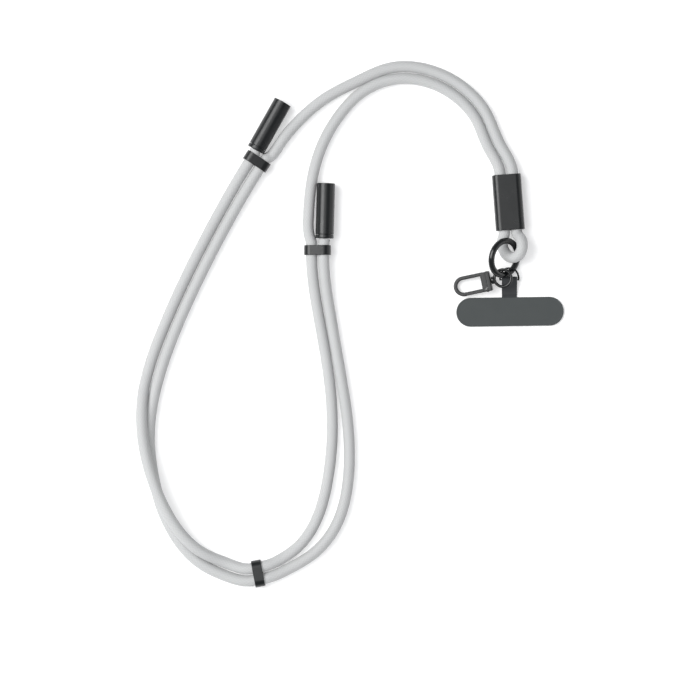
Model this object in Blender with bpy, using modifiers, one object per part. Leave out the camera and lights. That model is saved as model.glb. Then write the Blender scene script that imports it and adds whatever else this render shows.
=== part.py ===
"""Charging cable lanyard: one long braided charging cable, worn as a neck loop, with a tether for a case.

The cable runs once round the body as two strands held side by side by three bands. Its bight hangs
below a flat oval housing and carries a round ring. A swivel clasp and a small D ring with a tether
strap and pad hang on that ring. Both plugs of the cable are covered by round caps.

Units are metres. +Z is up, the floor is z = 0, +Y points to the top of the laid out loop.
"""
import math

import bmesh
import bpy
import numpy as np
from mathutils import Euler, Matrix, Vector

MM = 0.001

# Cable
CORD_DIAMETER = 6.2 * MM
STRAND_CONTACT = 6.6 * MM        # least distance between two strands' centre lines
GUIDE_PITCH = 6.9 * MM           # distance between the strands inside a band
GUIDE_CLEARANCE = 0.3 * MM       # cable to the wall of what holds it
CORD_SPACING = 22.0 * MM         # distance between the points of the tube
GUIDE_LEAD = 0.25 * MM           # straight cable beyond each end of a guide
HOUSING_LEAD = 1.0 * MM          # the same, at the housing
PLUG_LEAD = 0.8 * MM             # straight cable before a plug

# Bands that hold the two strands together
BAND_WALL = 0.85 * MM
BAND_LENGTH = 5.6 * MM
BAND_EDGE = 0.25 * MM
SLIDER_LEFT_AT = (-83.6 * MM, 103.6 * MM)
SLIDER_LEFT_TURN = math.radians(-33.0)
SLIDER_RIGHT_AT = (-49.0 * MM, 53.0 * MM)
SLIDER_RIGHT_TURN = math.radians(0.0)
KEEPER_AT = (-82.8 * MM, -131.2 * MM)
KEEPER_TURN = math.radians(-79.2)

# Housing at the bight
HOUSING_PITCH = 7.1 * MM
HOUSING_WALL = 1.25 * MM
HOUSING_LENGTH = 31.7 * MM
HOUSING_CORNER = 3.4 * MM
HOUSING_EDGE = 0.35 * MM
HOUSING_AT = (59.7 * MM, 80.2 * MM)
HOUSING_TURN = math.radians(4.2)

# Plugs and their caps
CAP_DIAMETER = 10.4 * MM
CAP_WALL = 1.1 * MM
CAP_LENGTH = 29.0 * MM
CAP_EDGE = 0.5 * MM
CAP_CLEARANCE = 0.3 * MM
PLUG_COLLAR_LENGTH = 2.0 * MM
PLUG_BODY_LENGTH = 17.0 * MM
PLUG_TIP_WIDTH = 6.0 * MM
PLUG_TIP_THICKNESS = 2.4 * MM
PLUG_TIP_LENGTH = 7.0 * MM
CORD_END_GAP = 0.3 * MM
PLUG_EDGE = 0.8 * MM
PLUG_ASIDE = 0.55 * MM           # how far a plug's axis stands outside its hole in the slider
PLUG_LEFT_STANDOFF = 2.3 * MM    # slider to the plug's base
PLUG_LEFT_TURN = math.radians(-29.5)
PLUG_RIGHT_STANDOFF = 3.9 * MM
PLUG_RIGHT_TURN = math.radians(-1.5)

# Round ring on the bight
RING_RADIUS = 9.9 * MM           # to the middle of the wire
RING_WIRE = 3.5 * MM
RING_AT = (57.3 * MM, 48.45 * MM)
RING_TILT = math.radians(41.2)
RING_UPHILL = math.radians(163.0)

# Swivel eye and clasp, along the clasp's own axis from the middle of the eye
EYE_RADIUS = 4.8 * MM
EYE_WIRE = 1.7 * MM
EYE_AT = (56.4 * MM, 37.0 * MM, 6.6 * MM)
CLASP_TURN = math.radians(191.7)
CLASP_DROP = math.radians(10.4)
NECK_DIAMETER = 4.4 * MM
NECK_LENGTH = 1.5 * MM
SWIVEL_CLEARANCE = 0.3 * MM
PIN_DIAMETER = 2.4 * MM
PIN_HEAD_DIAMETER = 3.4 * MM
PIN_HEAD_LENGTH = 0.8 * MM
CLASP_WIDTH = 11.4 * MM
CLASP_LENGTH = 21.7 * MM
CLASP_BLOCK_LENGTH = 5.5 * MM
CLASP_BLOCK_THICKNESS = 4.6 * MM
CLASP_PANEL_THICKNESS = 4.0 * MM
CLASP_PANEL_LENGTH = 2.9 * MM
CLASP_SWIVEL_WALL = 1.2 * MM
FRAME_WIRE = 2.1 * MM
FRAME_THICKNESS = 2.6 * MM
FRAME_EDGE = 0.35 * MM
GATE_THICKNESS = 2.2 * MM
GATE_CLEARANCE = 0.3 * MM
GATE_LENGTH = 11.8 * MM
GATE_OPEN = math.radians(28.0)
RIVET_DIAMETER = 1.3 * MM
RIVET_INSET = 2.9 * MM           # from the frame side of the block to the rivet

# D ring, tether strap and tether pad
D_HALF_WIDTH = 5.3 * MM
D_HEIGHT = 7.4 * MM
D_SQUARENESS = 2.3               # 2 is a half ellipse, more has squarer shoulders
D_WIRE = 1.1 * MM
D_TILT = math.radians(29.0)
D_BAR_TILT = math.radians(3.0)
D_BAR_AT = (60.45 * MM, 36.2 * MM, 1.9 * MM)
STRAP_WIDTH = 8.6 * MM
STRAP_ASIDE = 0.1 * MM           # the tape doesn't sit quite in the middle of the bar
STRAP_TAPE = 0.7 * MM
STRAP_FOLD_CLEARANCE = 0.6 * MM
STRAP_DOUBLE_LENGTH = 8.5 * MM
STRAP_TAIL_IN_PAD = 6.0 * MM
PAD_LENGTH = 61.3 * MM
PAD_WIDTH = 16.5 * MM
PAD_THICKNESS = 1.6 * MM
PAD_EDGE = 0.3 * MM
PAD_AT = (60.85 * MM, 17.94 * MM)
PAD_TURN = math.radians(0.8)
POCKET_CLEARANCE = 0.3 * MM

# Middle line between the two strands, from the left slider round the bottom to the keeper.
# Columns: x, y, side of the first strand (its distance from the second, signed), in millimetres.
ROUTE_LEFT = (
    (-101.2, 74.3, 6.8),
    (-119.0, 40.1, 6.8),
    (-132.9, 9.5, 6.8),
    (-142.9, -18.7, 6.8),
    (-145.4, -30.0, 6.2),
    (-146.7, -42.0, 4.8),
    (-145.9, -61.1, 2.4),
    (-142.4, -78.0, 0.3),
    (-137.3, -93.0, -1.8),
    (-130.2, -106.5, -3.4),
    (-120.2, -118.4, -5.2),
    (-112.0, -124.2, -6.3),
    (-102.5, -128.5, -6.9),
)
# The same, from the keeper up the right side to the right slider.
ROUTE_RIGHT = (
    (-67.6, -125.8, -7.0),
    (-54.4, -116.6, -9.1),
    (-44.2, -102.5, -11.5),
    (-37.2, -76.5, -11.5),
    (-36.0, -50.8, -9.3),
    (-39.3, -18.1, -6.8),
    (-45.6, 18.9, -6.7),
)
# The two strands over the shoulder, from the housing to where they part.
ROUTE_TOP = (
    (51.8, 112.3, 6.7),
    (44.1, 129.7, 6.7),
    (29.9, 144.8, 6.7),
    (13.0, 152.7, 6.7),
    (-6.7, 153.7, 6.7),
    (-25.0, 146.2, 6.8),
)
# First strand alone, from there to the right slider.
ROUTE_TOP_INNER = (
    (-36.4, 130.2),
    (-47.0, 111.4),
    (-52.6, 90.5),
    (-54.2, 72.0),
    (-53.6, 61.0),
)
# Second strand alone, from there to the left slider.
ROUTE_TOP_OUTER = (
    (-44.8, 139.5),
    (-60.4, 126.0),
    (-71.2, 112.6),
    (-76.3, 106.3),
)
# Bight below the housing. Columns: x, y, z.
ROUTE_BIGHT = (
    (56.7, 59.6, 4.0),
    (56.4, 56.3, 3.3),
    (57.8, 51.7, 3.8),
    (61.4, 48.8, 6.0),
    (65.4, 50.2, 8.2),
    (67.3, 54.4, 9.2),
    (66.5, 59.4, 7.8),
)

CORD_RADIUS = CORD_DIAMETER / 2
GUIDE_INSIDE = CORD_DIAMETER + 2 * GUIDE_CLEARANCE
BAND_HEIGHT = GUIDE_INSIDE + 2 * BAND_WALL
HOUSING_HEIGHT = GUIDE_INSIDE + 2 * HOUSING_WALL
SLIDER_LIFT = CAP_DIAMETER / 2 - BAND_HEIGHT / 2      # a slider's plug side is held up by its plug


def clear_scene():
    for old in list(bpy.data.objects):
        bpy.data.objects.remove(old, do_unlink=True)


def new_collection(name):
    made = bpy.data.collections.new(name)
    bpy.context.scene.collection.children.link(made)
    return made


def new_material(name, colour, roughness, metallic=0.0):
    made = bpy.data.materials.new(name)
    made.use_nodes = True
    shader = made.node_tree.nodes["Principled BSDF"]
    shader.inputs["Base Color"].default_value = (*colour, 1.0)
    shader.inputs["Roughness"].default_value = roughness
    shader.inputs["Metallic"].default_value = metallic
    return made


def smooth_run(knots, start, end):
    """A cubic spline through the knots, by distance along them, that leaves and arrives in given directions."""
    knots = np.array(knots, float)
    step = np.linalg.norm(np.diff(knots, axis=0), axis=1)
    along = np.concatenate([[0.0], np.cumsum(step)])
    slope = np.diff(knots, axis=0) / step[:, None]
    last = len(knots) - 1
    matrix = np.zeros((last + 1, last + 1))
    matrix[0, :2] = 2 * step[0], step[0]
    matrix[last, last - 1:] = step[-1], 2 * step[-1]
    right = np.zeros_like(knots)
    right[0] = 6 * (slope[0] - start)
    right[last] = 6 * (end - slope[-1])
    for i in range(1, last):
        matrix[i, i - 1:i + 2] = step[i - 1], 2 * (step[i - 1] + step[i]), step[i]
        right[i] = 6 * (slope[i] - slope[i - 1])
    bend = np.linalg.solve(matrix, right)

    def at(s):
        i = int(np.clip(np.searchsorted(along, s) - 1, 0, last - 1))
        a = (along[i + 1] - s) / step[i]
        b = (s - along[i]) / step[i]
        curve = ((a ** 3 - a) * bend[i] + (b ** 3 - b) * bend[i + 1]) * step[i] ** 2 / 6
        place = a * knots[i] + b * knots[i + 1] + curve
        place[2] = max(place[2], CORD_RADIUS)
        return place

    return at, along


def beside(at, turn, aside, ahead):
    """A point beside and ahead of a place, for a turn about Z."""
    x, y = at
    return (x + math.cos(turn) * aside - math.sin(turn) * ahead,
            y + math.sin(turn) * aside + math.cos(turn) * ahead)


def guide(at, turn, pitch, half_length, height, side, up, lifted=0):
    """Where a strand goes into a guide and where it comes out, in the order of travel."""
    level = height / 2 + (SLIDER_LIFT if side == lifted else 0.0)
    ends = [(*beside(at, turn, side * pitch / 2, ahead), level) for ahead in (-half_length, half_length)]
    if not up:
        ends.reverse()
    return ends


def strand_pair(rows):
    """Both strands beside a middle line. Where they cross, the first one climbs over the second."""
    middle = np.array([(x * MM, y * MM) for x, y, _ in rows])
    tangent = np.gradient(middle, axis=0)
    tangent /= np.linalg.norm(tangent, axis=1)[:, None]
    left = np.stack([-tangent[:, 1], tangent[:, 0]], axis=1)
    first = []
    second = []
    for place, normal, row in zip(middle, left, rows):
        apart = row[2] * MM
        climb = math.sqrt(max(0.0, STRAND_CONTACT ** 2 - apart ** 2))
        first.append((*(place - normal * apart / 2), CORD_RADIUS + climb))
        second.append((*(place + normal * apart / 2), CORD_RADIUS))
    return first, second


def plug_at(slider_at, slider_turn, side, standoff):
    """The middle of a plug's base, above its hole in the slider."""
    aside = side * (GUIDE_PITCH / 2 + PLUG_ASIDE)
    return beside(slider_at, slider_turn, aside, BAND_LENGTH / 2 + standoff)


PLUG_LEFT_AT = plug_at(SLIDER_LEFT_AT, SLIDER_LEFT_TURN, -1, PLUG_LEFT_STANDOFF)
PLUG_RIGHT_AT = plug_at(SLIDER_RIGHT_AT, SLIDER_RIGHT_TURN, 1, PLUG_RIGHT_STANDOFF)


def plug_end(at, turn):
    """The cable's straight end: the middle of its face, a small gap before the plug's base, and a lead."""
    return [(*beside(at, turn, 0.0, -back), CAP_DIAMETER / 2) for back in (CORD_END_GAP, PLUG_LEAD)]


def cord_runs():
    """The cable's route from the left plug to the right plug, as runs of knots between its guides."""
    left_a, left_b = strand_pair(ROUTE_LEFT)
    right_a, right_b = strand_pair(ROUTE_RIGHT)
    top_b, top_a = strand_pair(ROUTE_TOP)
    inner = [(x * MM, y * MM, CORD_RADIUS) for x, y in ROUTE_TOP_INNER]
    outer = [(x * MM, y * MM, CORD_RADIUS) for x, y in ROUTE_TOP_OUTER]
    bight = [(x * MM, y * MM, z * MM) for x, y, z in ROUTE_BIGHT]
    band = (GUIDE_PITCH, BAND_LENGTH / 2 + GUIDE_LEAD, BAND_HEIGHT)
    slider_left = (SLIDER_LEFT_AT, SLIDER_LEFT_TURN, *band)
    slider_right = (SLIDER_RIGHT_AT, SLIDER_RIGHT_TURN, *band)
    keeper = (KEEPER_AT, KEEPER_TURN, *band)
    housing = (HOUSING_AT, HOUSING_TURN, HOUSING_PITCH, HOUSING_LENGTH / 2 + HOUSING_LEAD, HOUSING_HEIGHT)
    stops = (
        ([], plug_end(PLUG_LEFT_AT, PLUG_LEFT_TURN)),
        ([], guide(*slider_left, side=-1, up=False, lifted=-1)),
        (left_a, guide(*keeper, side=-1, up=True)),
        (right_a, guide(*slider_right, side=-1, up=True, lifted=1)),
        (inner[::-1] + top_a[::-1], guide(*housing, side=-1, up=False)),
        (bight, guide(*housing, side=1, up=True)),
        (top_b + outer, guide(*slider_left, side=1, up=False, lifted=-1)),
        (left_b, guide(*keeper, side=1, up=True)),
        (right_b, guide(*slider_right, side=1, up=True, lifted=1)),
        ([], plug_end(PLUG_RIGHT_AT, PLUG_RIGHT_TURN)[::-1]),
    )
    runs = []
    for (_, before), (between, after) in zip(stops[:-1], stops[1:]):
        start = np.subtract(before[1], before[0])
        end = np.subtract(after[1], after[0])
        knots = [before[1]] + between + [after[0]]
        runs.append((knots, start / np.linalg.norm(start), end / np.linalg.norm(end)))
    return stops[0][1][0], runs, stops[-1][1][1]


def cord_points():
    """Points read from the smooth route: each stretch between knots in equal steps."""
    first, runs, last = cord_runs()
    points = [first]
    for knots, start, end in runs:
        at, along = smooth_run(knots, start, end)
        points.append(at(0.0))
        for low, high in zip(along[:-1], along[1:]):
            steps = max(1, round((high - low) / CORD_SPACING))
            points += [at(low + (high - low) * k / steps) for k in range(1, steps + 1)]
    points.append(last)
    return points


def poly_curve(name, collection, points, radius, cyclic=False, resolution=2):
    data = bpy.data.curves.new(name, "CURVE")
    data.dimensions = "3D"
    data.bevel_depth = radius
    data.bevel_resolution = resolution
    data.use_fill_caps = not cyclic
    spline = data.splines.new("POLY")
    spline.points.add(len(points) - 1)
    for target, point in zip(spline.points, points):
        target.co = (*point, 1.0)
    spline.use_cyclic_u = cyclic
    made = bpy.data.objects.new(name, data)
    collection.objects.link(made)
    return made


def outline_solid(name, collection, outlines, thickness, edge=0.0):
    """A flat outline, with its holes, given a thickness about its own plane. It is a closed mesh."""
    data = bpy.data.curves.new(name, "CURVE")
    data.dimensions = "2D"
    data.fill_mode = "BOTH"
    data.extrude = thickness / 2 - edge
    data.bevel_depth = edge
    data.bevel_resolution = 0
    data.offset = -edge
    for outline in outlines:
        spline = data.splines.new("POLY")
        spline.points.add(len(outline) - 1)
        for target, (x, y) in zip(spline.points, outline):
            target.co = (x, y, 0.0, 1.0)
        spline.use_cyclic_u = True
    guide = bpy.data.objects.new(name + "_outline", data)
    collection.objects.link(guide)
    graph = bpy.context.evaluated_depsgraph_get()
    mesh = bpy.data.meshes.new_from_object(guide.evaluated_get(graph))
    mesh.name = name
    bpy.data.objects.remove(guide, do_unlink=True)
    work = bmesh.new()
    work.from_mesh(mesh)
    bmesh.ops.remove_doubles(work, verts=work.verts, dist=1e-6)
    bmesh.ops.recalc_face_normals(work, faces=work.faces)
    work.to_mesh(mesh)
    work.free()
    made = bpy.data.objects.new(name, mesh)
    collection.objects.link(made)
    return made


def arc(cx, cy, radius, start, end, steps):
    angles = [start + (end - start) * k / steps for k in range(steps + 1)]
    return [(cx + radius * math.cos(a), cy + radius * math.sin(a)) for a in angles]


def stadium(length, height, steps=10):
    """An outline with two parallel sides and two round ends."""
    reach = (length - height) / 2
    right = arc(reach, 0, height / 2, -math.pi / 2, math.pi / 2, steps)
    left = arc(-reach, 0, height / 2, math.pi / 2, 1.5 * math.pi, steps)
    return right + left


def rounded_box(length, height, corner, steps=6):
    x = length / 2 - corner
    y = height / 2 - corner
    quarter = math.pi / 2
    points = arc(x, -y, corner, -quarter, 0, steps)
    points += arc(x, y, corner, 0, quarter, steps)
    points += arc(-x, y, corner, quarter, 2 * quarter, steps)
    points += arc(-x, -y, corner, 2 * quarter, 3 * quarter, steps)
    return points


def turned(name, collection, profile, steps=36):
    """A profile turned about local Z. It runs down its outer side and back up inside."""
    mesh = bpy.data.meshes.new(name)
    points = [(r, 0.0, z) for r, z in profile]
    edges = [(i, i + 1) for i in range(len(points) - 1)]
    mesh.from_pydata(points, edges, [])
    made = bpy.data.objects.new(name, mesh)
    collection.objects.link(made)
    screw = made.modifiers.new("turn", "SCREW")
    screw.axis = "Z"
    screw.steps = steps
    screw.render_steps = steps
    screw.use_merge_vertices = True
    screw.merge_threshold = 1e-6
    screw.use_smooth_shade = True
    return made


def box(name, collection, low, high):
    bpy.ops.mesh.primitive_cube_add(size=1.0)
    made = bpy.context.active_object
    made.name = name
    low = Vector(low)
    high = Vector(high)
    made.data.transform(Matrix.Translation((low + high) / 2) @ Matrix.Diagonal((*(high - low), 1.0)))
    move_to(made, collection)
    return made


def cylinder(name, collection, radius, start, end, sides=24):
    """A cylinder between two points of local space."""
    start = Vector(start)
    end = Vector(end)
    bpy.ops.mesh.primitive_cylinder_add(vertices=sides, radius=radius, depth=(end - start).length)
    made = bpy.context.active_object
    made.name = name
    turn = (end - start).to_track_quat("Z", "Y").to_matrix().to_4x4()
    made.data.transform(Matrix.Translation((start + end) / 2) @ turn)
    move_to(made, collection)
    return made


def move_to(obj, collection):
    for other in list(obj.users_collection):
        other.objects.unlink(obj)
    collection.objects.link(obj)


def boolean(obj, tool, operation):
    change = obj.modifiers.new(operation.lower() + "_" + tool.name, "BOOLEAN")
    change.operation = operation
    change.object = tool
    change.solver = "EXACT"
    tool.hide_render = True
    tool.display_type = "WIRE"


def soften(obj, width, segments=1):
    edge = obj.modifiers.new("edge", "BEVEL")
    edge.width = width
    edge.segments = segments
    edge.limit_method = "ANGLE"
    edge.angle_limit = math.radians(40)
    edge.harden_normals = False


def smooth_faces(obj):
    if obj.type == "MESH":
        obj.data.shade_smooth()
        obj.data.set_sharp_from_angle(angle=math.radians(35))


def set_frame(obj, parent, place, turn):
    obj.parent = parent
    obj.location = place
    obj.rotation_euler = turn


def make_band(name, parts, at, turn, length, pitch, wall, height, corner, edge, material, lifted=0):
    """A short sleeve round two strands: its opening is as wide as the pair and as high as one."""
    inside = stadium(pitch + GUIDE_INSIDE, GUIDE_INSIDE)
    width = pitch + GUIDE_INSIDE + 2 * wall
    outside = stadium(width, height) if corner is None else rounded_box(width, height, corner)
    band = outline_solid(name, parts, (outside, inside), length)
    soften(band, edge)
    lift = SLIDER_LIFT * abs(lifted)
    lean = Matrix.Rotation(math.asin(lift / pitch) * lifted, 3, "Z")
    stand = Matrix.Rotation(turn, 3, "Z") @ Matrix.Rotation(math.pi / 2, 3, "X")
    set_frame(band, None, (*at, height / 2 + lift / 2), (stand @ lean).to_euler())
    band.data.materials.append(material)
    smooth_faces(band)
    return band


def make_cap(name, parts, at, turn, material):
    """A round sleeve with one closed end. Its origin is where the plug's base starts."""
    outer = CAP_DIAMETER / 2
    inner = outer - CAP_WALL
    low = PLUG_COLLAR_LENGTH + CAP_CLEARANCE
    top = low + CAP_LENGTH
    profile = (
        (0.0, top), (outer - CAP_EDGE, top), (outer, top - CAP_EDGE),
        (outer, low + CAP_EDGE / 2), (outer - CAP_EDGE / 2, low), (inner, low),
        (inner, top - CAP_WALL), (0.0, top - CAP_WALL),
    )
    cap = turned(name, parts, profile)
    set_frame(cap, None, (*at, outer), Euler((-math.pi / 2, 0.0, turn)))
    cap.data.materials.append(material)
    return cap


def make_plug(name, parts, tools, at, turn, material):
    """Collar, grip and flat tip, all in one piece, inside the cap."""
    collar = CAP_DIAMETER / 2
    grip = collar - CAP_WALL - CAP_CLEARANCE
    body_end = PLUG_COLLAR_LENGTH + PLUG_BODY_LENGTH
    profile = (
        (0.0, body_end), (grip - CAP_EDGE, body_end), (grip, body_end - CAP_EDGE),
        (grip, PLUG_COLLAR_LENGTH), (collar, PLUG_COLLAR_LENGTH),
        (collar, PLUG_EDGE), (collar - PLUG_EDGE, 0.0), (0.0, 0.0),
    )
    plug = turned(name, parts, profile)
    set_frame(plug, None, (*at, collar), Euler((-math.pi / 2, 0.0, turn)))
    half = (PLUG_TIP_WIDTH / 2, PLUG_TIP_THICKNESS / 2)
    tip = box(name + "_tip", tools, (-half[0], -half[1], body_end - 1 * MM),
              (half[0], half[1], body_end + PLUG_TIP_LENGTH))
    soften(tip, PLUG_TIP_THICKNESS * 0.3, 2)
    set_frame(tip, plug, (0, 0, 0), Euler((0, 0, 0)))
    boolean(plug, tip, "UNION")
    plug.data.materials.append(material)
    return plug


def make_ring(parts, material):
    """A round ring that leans on the bight: one side rests on the floor, the other is raised."""
    bpy.ops.mesh.primitive_torus_add(major_radius=RING_RADIUS, minor_radius=RING_WIRE / 2,
                                     major_segments=44, minor_segments=12)
    ring = bpy.context.active_object
    ring.name = "ring"
    move_to(ring, parts)
    height = RING_WIRE / 2 + RING_RADIUS * math.sin(RING_TILT)
    turn = Matrix.Rotation(RING_UPHILL, 3, "Z") @ Matrix.Rotation(-RING_TILT, 3, "Y")
    set_frame(ring, None, (*RING_AT, height), turn.to_euler())
    ring.data.materials.append(material)
    smooth_faces(ring)
    return ring


def clasp_frame():
    """The clasp's frame: local X runs from the eye to the clasp's tail, local Z up out of its face."""
    turn = Matrix.Rotation(CLASP_TURN, 3, "Z") @ Matrix.Rotation(CLASP_DROP, 3, "Y")
    empty = bpy.data.objects.new("swivel_axis", None)
    empty.location = EYE_AT
    empty.rotation_euler = turn.to_euler()
    return empty


EYE_REACH = EYE_RADIUS + EYE_WIRE / 2
NECK_END = EYE_REACH + NECK_LENGTH - 0.6 * MM
BLOCK_START = NECK_END + SWIVEL_CLEARANCE
BLOCK_END = BLOCK_START + CLASP_BLOCK_LENGTH
TAIL_END = BLOCK_START + CLASP_LENGTH
ARM_SIDE = CLASP_WIDTH / 2 - FRAME_WIRE / 2
RIVET_AT = (BLOCK_END - RIVET_INSET, ARM_SIDE)
CAVITY_START = BLOCK_START + CLASP_SWIVEL_WALL
HEAD_START = CAVITY_START + SWIVEL_CLEARANCE
CAVITY_END = HEAD_START + PIN_HEAD_LENGTH + SWIVEL_CLEARANCE


def make_eye(parts, tools, frame, material):
    """A wire eye with a neck and a headed pin that the clasp turns on."""
    bpy.ops.mesh.primitive_torus_add(major_radius=EYE_RADIUS, minor_radius=EYE_WIRE / 2,
                                     major_segments=32, minor_segments=10)
    eye = bpy.context.active_object
    eye.name = "swivel_eye"
    move_to(eye, parts)
    set_frame(eye, frame, (0, 0, 0), Euler((0, 0, 0)))
    neck = cylinder("eye_neck", tools, NECK_DIAMETER / 2, (EYE_RADIUS + 0.05 * MM, 0, 0), (NECK_END, 0, 0))
    pin = cylinder("eye_pin", tools, PIN_DIAMETER / 2, (EYE_RADIUS, 0, 0), (HEAD_START + 0.3 * MM, 0, 0), 16)
    head = cylinder("eye_head", tools, PIN_HEAD_DIAMETER / 2, (HEAD_START, 0, 0),
                    (HEAD_START + PIN_HEAD_LENGTH, 0, 0), 20)
    for tool in (neck, pin, head):
        set_frame(tool, frame, (0, 0, 0), Euler((0, 0, 0)))
        boolean(eye, tool, "UNION")
    eye.data.materials.append(material)
    smooth_faces(eye)
    return eye


def make_clasp(parts, tools, frame, material):
    """Block and U frame in one casting, bored for the swivel pin and slotted for the gate."""
    half = CLASP_WIDTH / 2
    round_at = TAIL_END - half
    outside = [(BLOCK_END - 2 * MM, half - 0.01 * MM), (BLOCK_END - 2 * MM, -half + 0.01 * MM)]
    outside += arc(round_at, 0, half, -math.pi / 2, math.pi / 2, 16)
    inner = half - FRAME_WIRE
    inside_start = BLOCK_END - CLASP_PANEL_LENGTH / 3
    inside = [(inside_start, inner), (inside_start, -inner)]
    inside += arc(round_at, 0, inner, -math.pi / 2, math.pi / 2, 14)
    clasp = outline_solid("clasp_body", parts, (outside, inside), FRAME_THICKNESS, FRAME_EDGE)
    set_frame(clasp, frame, (0, 0, 0), Euler((0, 0, 0)))

    seam = BLOCK_END - CLASP_PANEL_LENGTH
    thick = CLASP_BLOCK_THICKNESS / 2
    thin = CLASP_PANEL_THICKNESS / 2
    block = box("clasp_block", tools, (BLOCK_START, -half, -thick), (seam, half, thick))
    panel = box("clasp_panel", tools, (seam - 1 * MM, -half + 0.15 * MM, -thin), (BLOCK_END, half - 0.15 * MM, thin))
    soften(block, 0.5 * MM, 2)
    soften(panel, 0.4 * MM, 1)

    reach = GATE_THICKNESS / 2 + GATE_CLEARANCE
    slot_inner = ARM_SIDE - FRAME_WIRE / 2 - GATE_CLEARANCE
    root = RIVET_AT[0] - FRAME_WIRE / 2 - GATE_CLEARANCE - 0.15 * MM
    sweep = math.tan(GATE_OPEN) * RIVET_INSET + 0.4 * MM
    slot = outline_solid(
        "gate_slot", tools,
        ([(root, half + 1 * MM), (root, slot_inner), (RIVET_AT[0], slot_inner - 0.3 * MM),
          (BLOCK_END + 0.2 * MM, slot_inner - sweep), (BLOCK_END + 0.2 * MM, half + 1 * MM)],),
        2 * reach,
    )
    arm = box("gate_gap", tools, (BLOCK_END - 0.05 * MM, inner - 0.3 * MM, -FRAME_THICKNESS),
              (RIVET_AT[0] + GATE_LENGTH + GATE_CLEARANCE, half + 1 * MM, FRAME_THICKNESS))
    bore = cylinder("pin_bore", tools, PIN_DIAMETER / 2 + SWIVEL_CLEARANCE, (BLOCK_START - 1 * MM, 0, 0),
                    (CAVITY_START + 0.2 * MM, 0, 0), 20)
    cavity = cylinder("head_cavity", tools, PIN_HEAD_DIAMETER / 2 + SWIVEL_CLEARANCE, (CAVITY_START, 0, 0),
                      (CAVITY_END, 0, 0), 20)
    rivet = cylinder("gate_rivet", tools, RIVET_DIAMETER / 2, (*RIVET_AT, -thin - 0.1 * MM),
                     (*RIVET_AT, thin + 0.1 * MM), 16)
    for tool, operation in ((block, "UNION"), (panel, "UNION"), (arm, "DIFFERENCE"), (slot, "DIFFERENCE"),
                            (bore, "DIFFERENCE"), (cavity, "DIFFERENCE"), (rivet, "UNION")):
        set_frame(tool, frame, (0, 0, 0), Euler((0, 0, 0)))
        boolean(clasp, tool, operation)
    clasp.data.materials.append(material)
    smooth_faces(clasp)
    return clasp


def make_gate(parts, frame, material):
    """A straight lever on the rivet. Its origin is the rivet's axis."""
    half = FRAME_WIRE / 2
    hole = arc(0, 0, RIVET_DIAMETER / 2 + GATE_CLEARANCE, 0, 2 * math.pi * 15 / 16, 15)
    tip = GATE_LENGTH
    outside = arc(0, 0, half, math.pi / 2, 1.5 * math.pi, 10)
    outside += [(tip - 0.5 * MM, -half), (tip, -half + 0.5 * MM), (tip, half)]
    gate = outline_solid("clasp_gate", parts, (outside, hole), GATE_THICKNESS)
    soften(gate, 0.2 * MM)
    set_frame(gate, frame, (*RIVET_AT, 0.0), Euler((0, 0, 0)))
    gate.data.materials.append(material)
    smooth_faces(gate)
    return gate


def make_d_ring(parts, material):
    """Thin wire in a D: a straight bar and a high round bow."""
    power = 2 / D_SQUARENESS
    points = []
    for k in range(19):
        across = math.cos(math.pi * k / 18)
        up = math.sin(math.pi * k / 18)
        x = math.copysign(D_HALF_WIDTH * abs(across) ** power, across)
        points.append((x, D_HEIGHT * abs(up) ** power, 0.0))
    ring = poly_curve("d_ring", parts, points, D_WIRE / 2, cyclic=True)
    turn = Matrix.Rotation(-D_BAR_TILT, 3, "Y") @ Matrix.Rotation(D_TILT, 3, "X")
    set_frame(ring, None, D_BAR_AT, turn.to_euler())
    ring.data.materials.append(material)
    return ring


def make_strap(parts, material):
    """Tape folded round the bar of the D ring. One layer of it goes on into the pad."""
    fold_inner = D_WIRE / 2 + STRAP_FOLD_CLEARANCE
    fold_outer = fold_inner + STRAP_TAPE
    height = D_BAR_AT[2]
    tail = D_BAR_AT[1] - (PAD_AT[1] + PAD_WIDTH / 2) + STRAP_TAIL_IN_PAD
    bow = arc(0, height, fold_outer, -math.radians(100), math.radians(62), 14)
    outside = [(-tail, 0.0), (-3.2 * MM, 0.0)] + bow
    outside += [(-STRAP_DOUBLE_LENGTH * 0.45, 1.55 * STRAP_TAPE + 0.9 * MM),
                (-STRAP_DOUBLE_LENGTH * 0.75, 2 * STRAP_TAPE), (-STRAP_DOUBLE_LENGTH, 2 * STRAP_TAPE),
                (-STRAP_DOUBLE_LENGTH - 0.3 * MM, STRAP_TAPE), (-tail, STRAP_TAPE)]
    inside = arc(0, height, fold_inner, -math.radians(105), math.radians(100), 12)
    inside += [(-STRAP_DOUBLE_LENGTH * 0.38, STRAP_TAPE + 0.5 * MM)]
    strap = outline_solid("tether_strap", parts, (outside, inside), STRAP_WIDTH)
    turn = Euler((math.pi / 2, 0.0, math.pi / 2))
    set_frame(strap, None, (D_BAR_AT[0] + STRAP_ASIDE, D_BAR_AT[1], 0.0), turn)
    strap.data.materials.append(material)
    smooth_faces(strap)
    return strap


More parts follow.
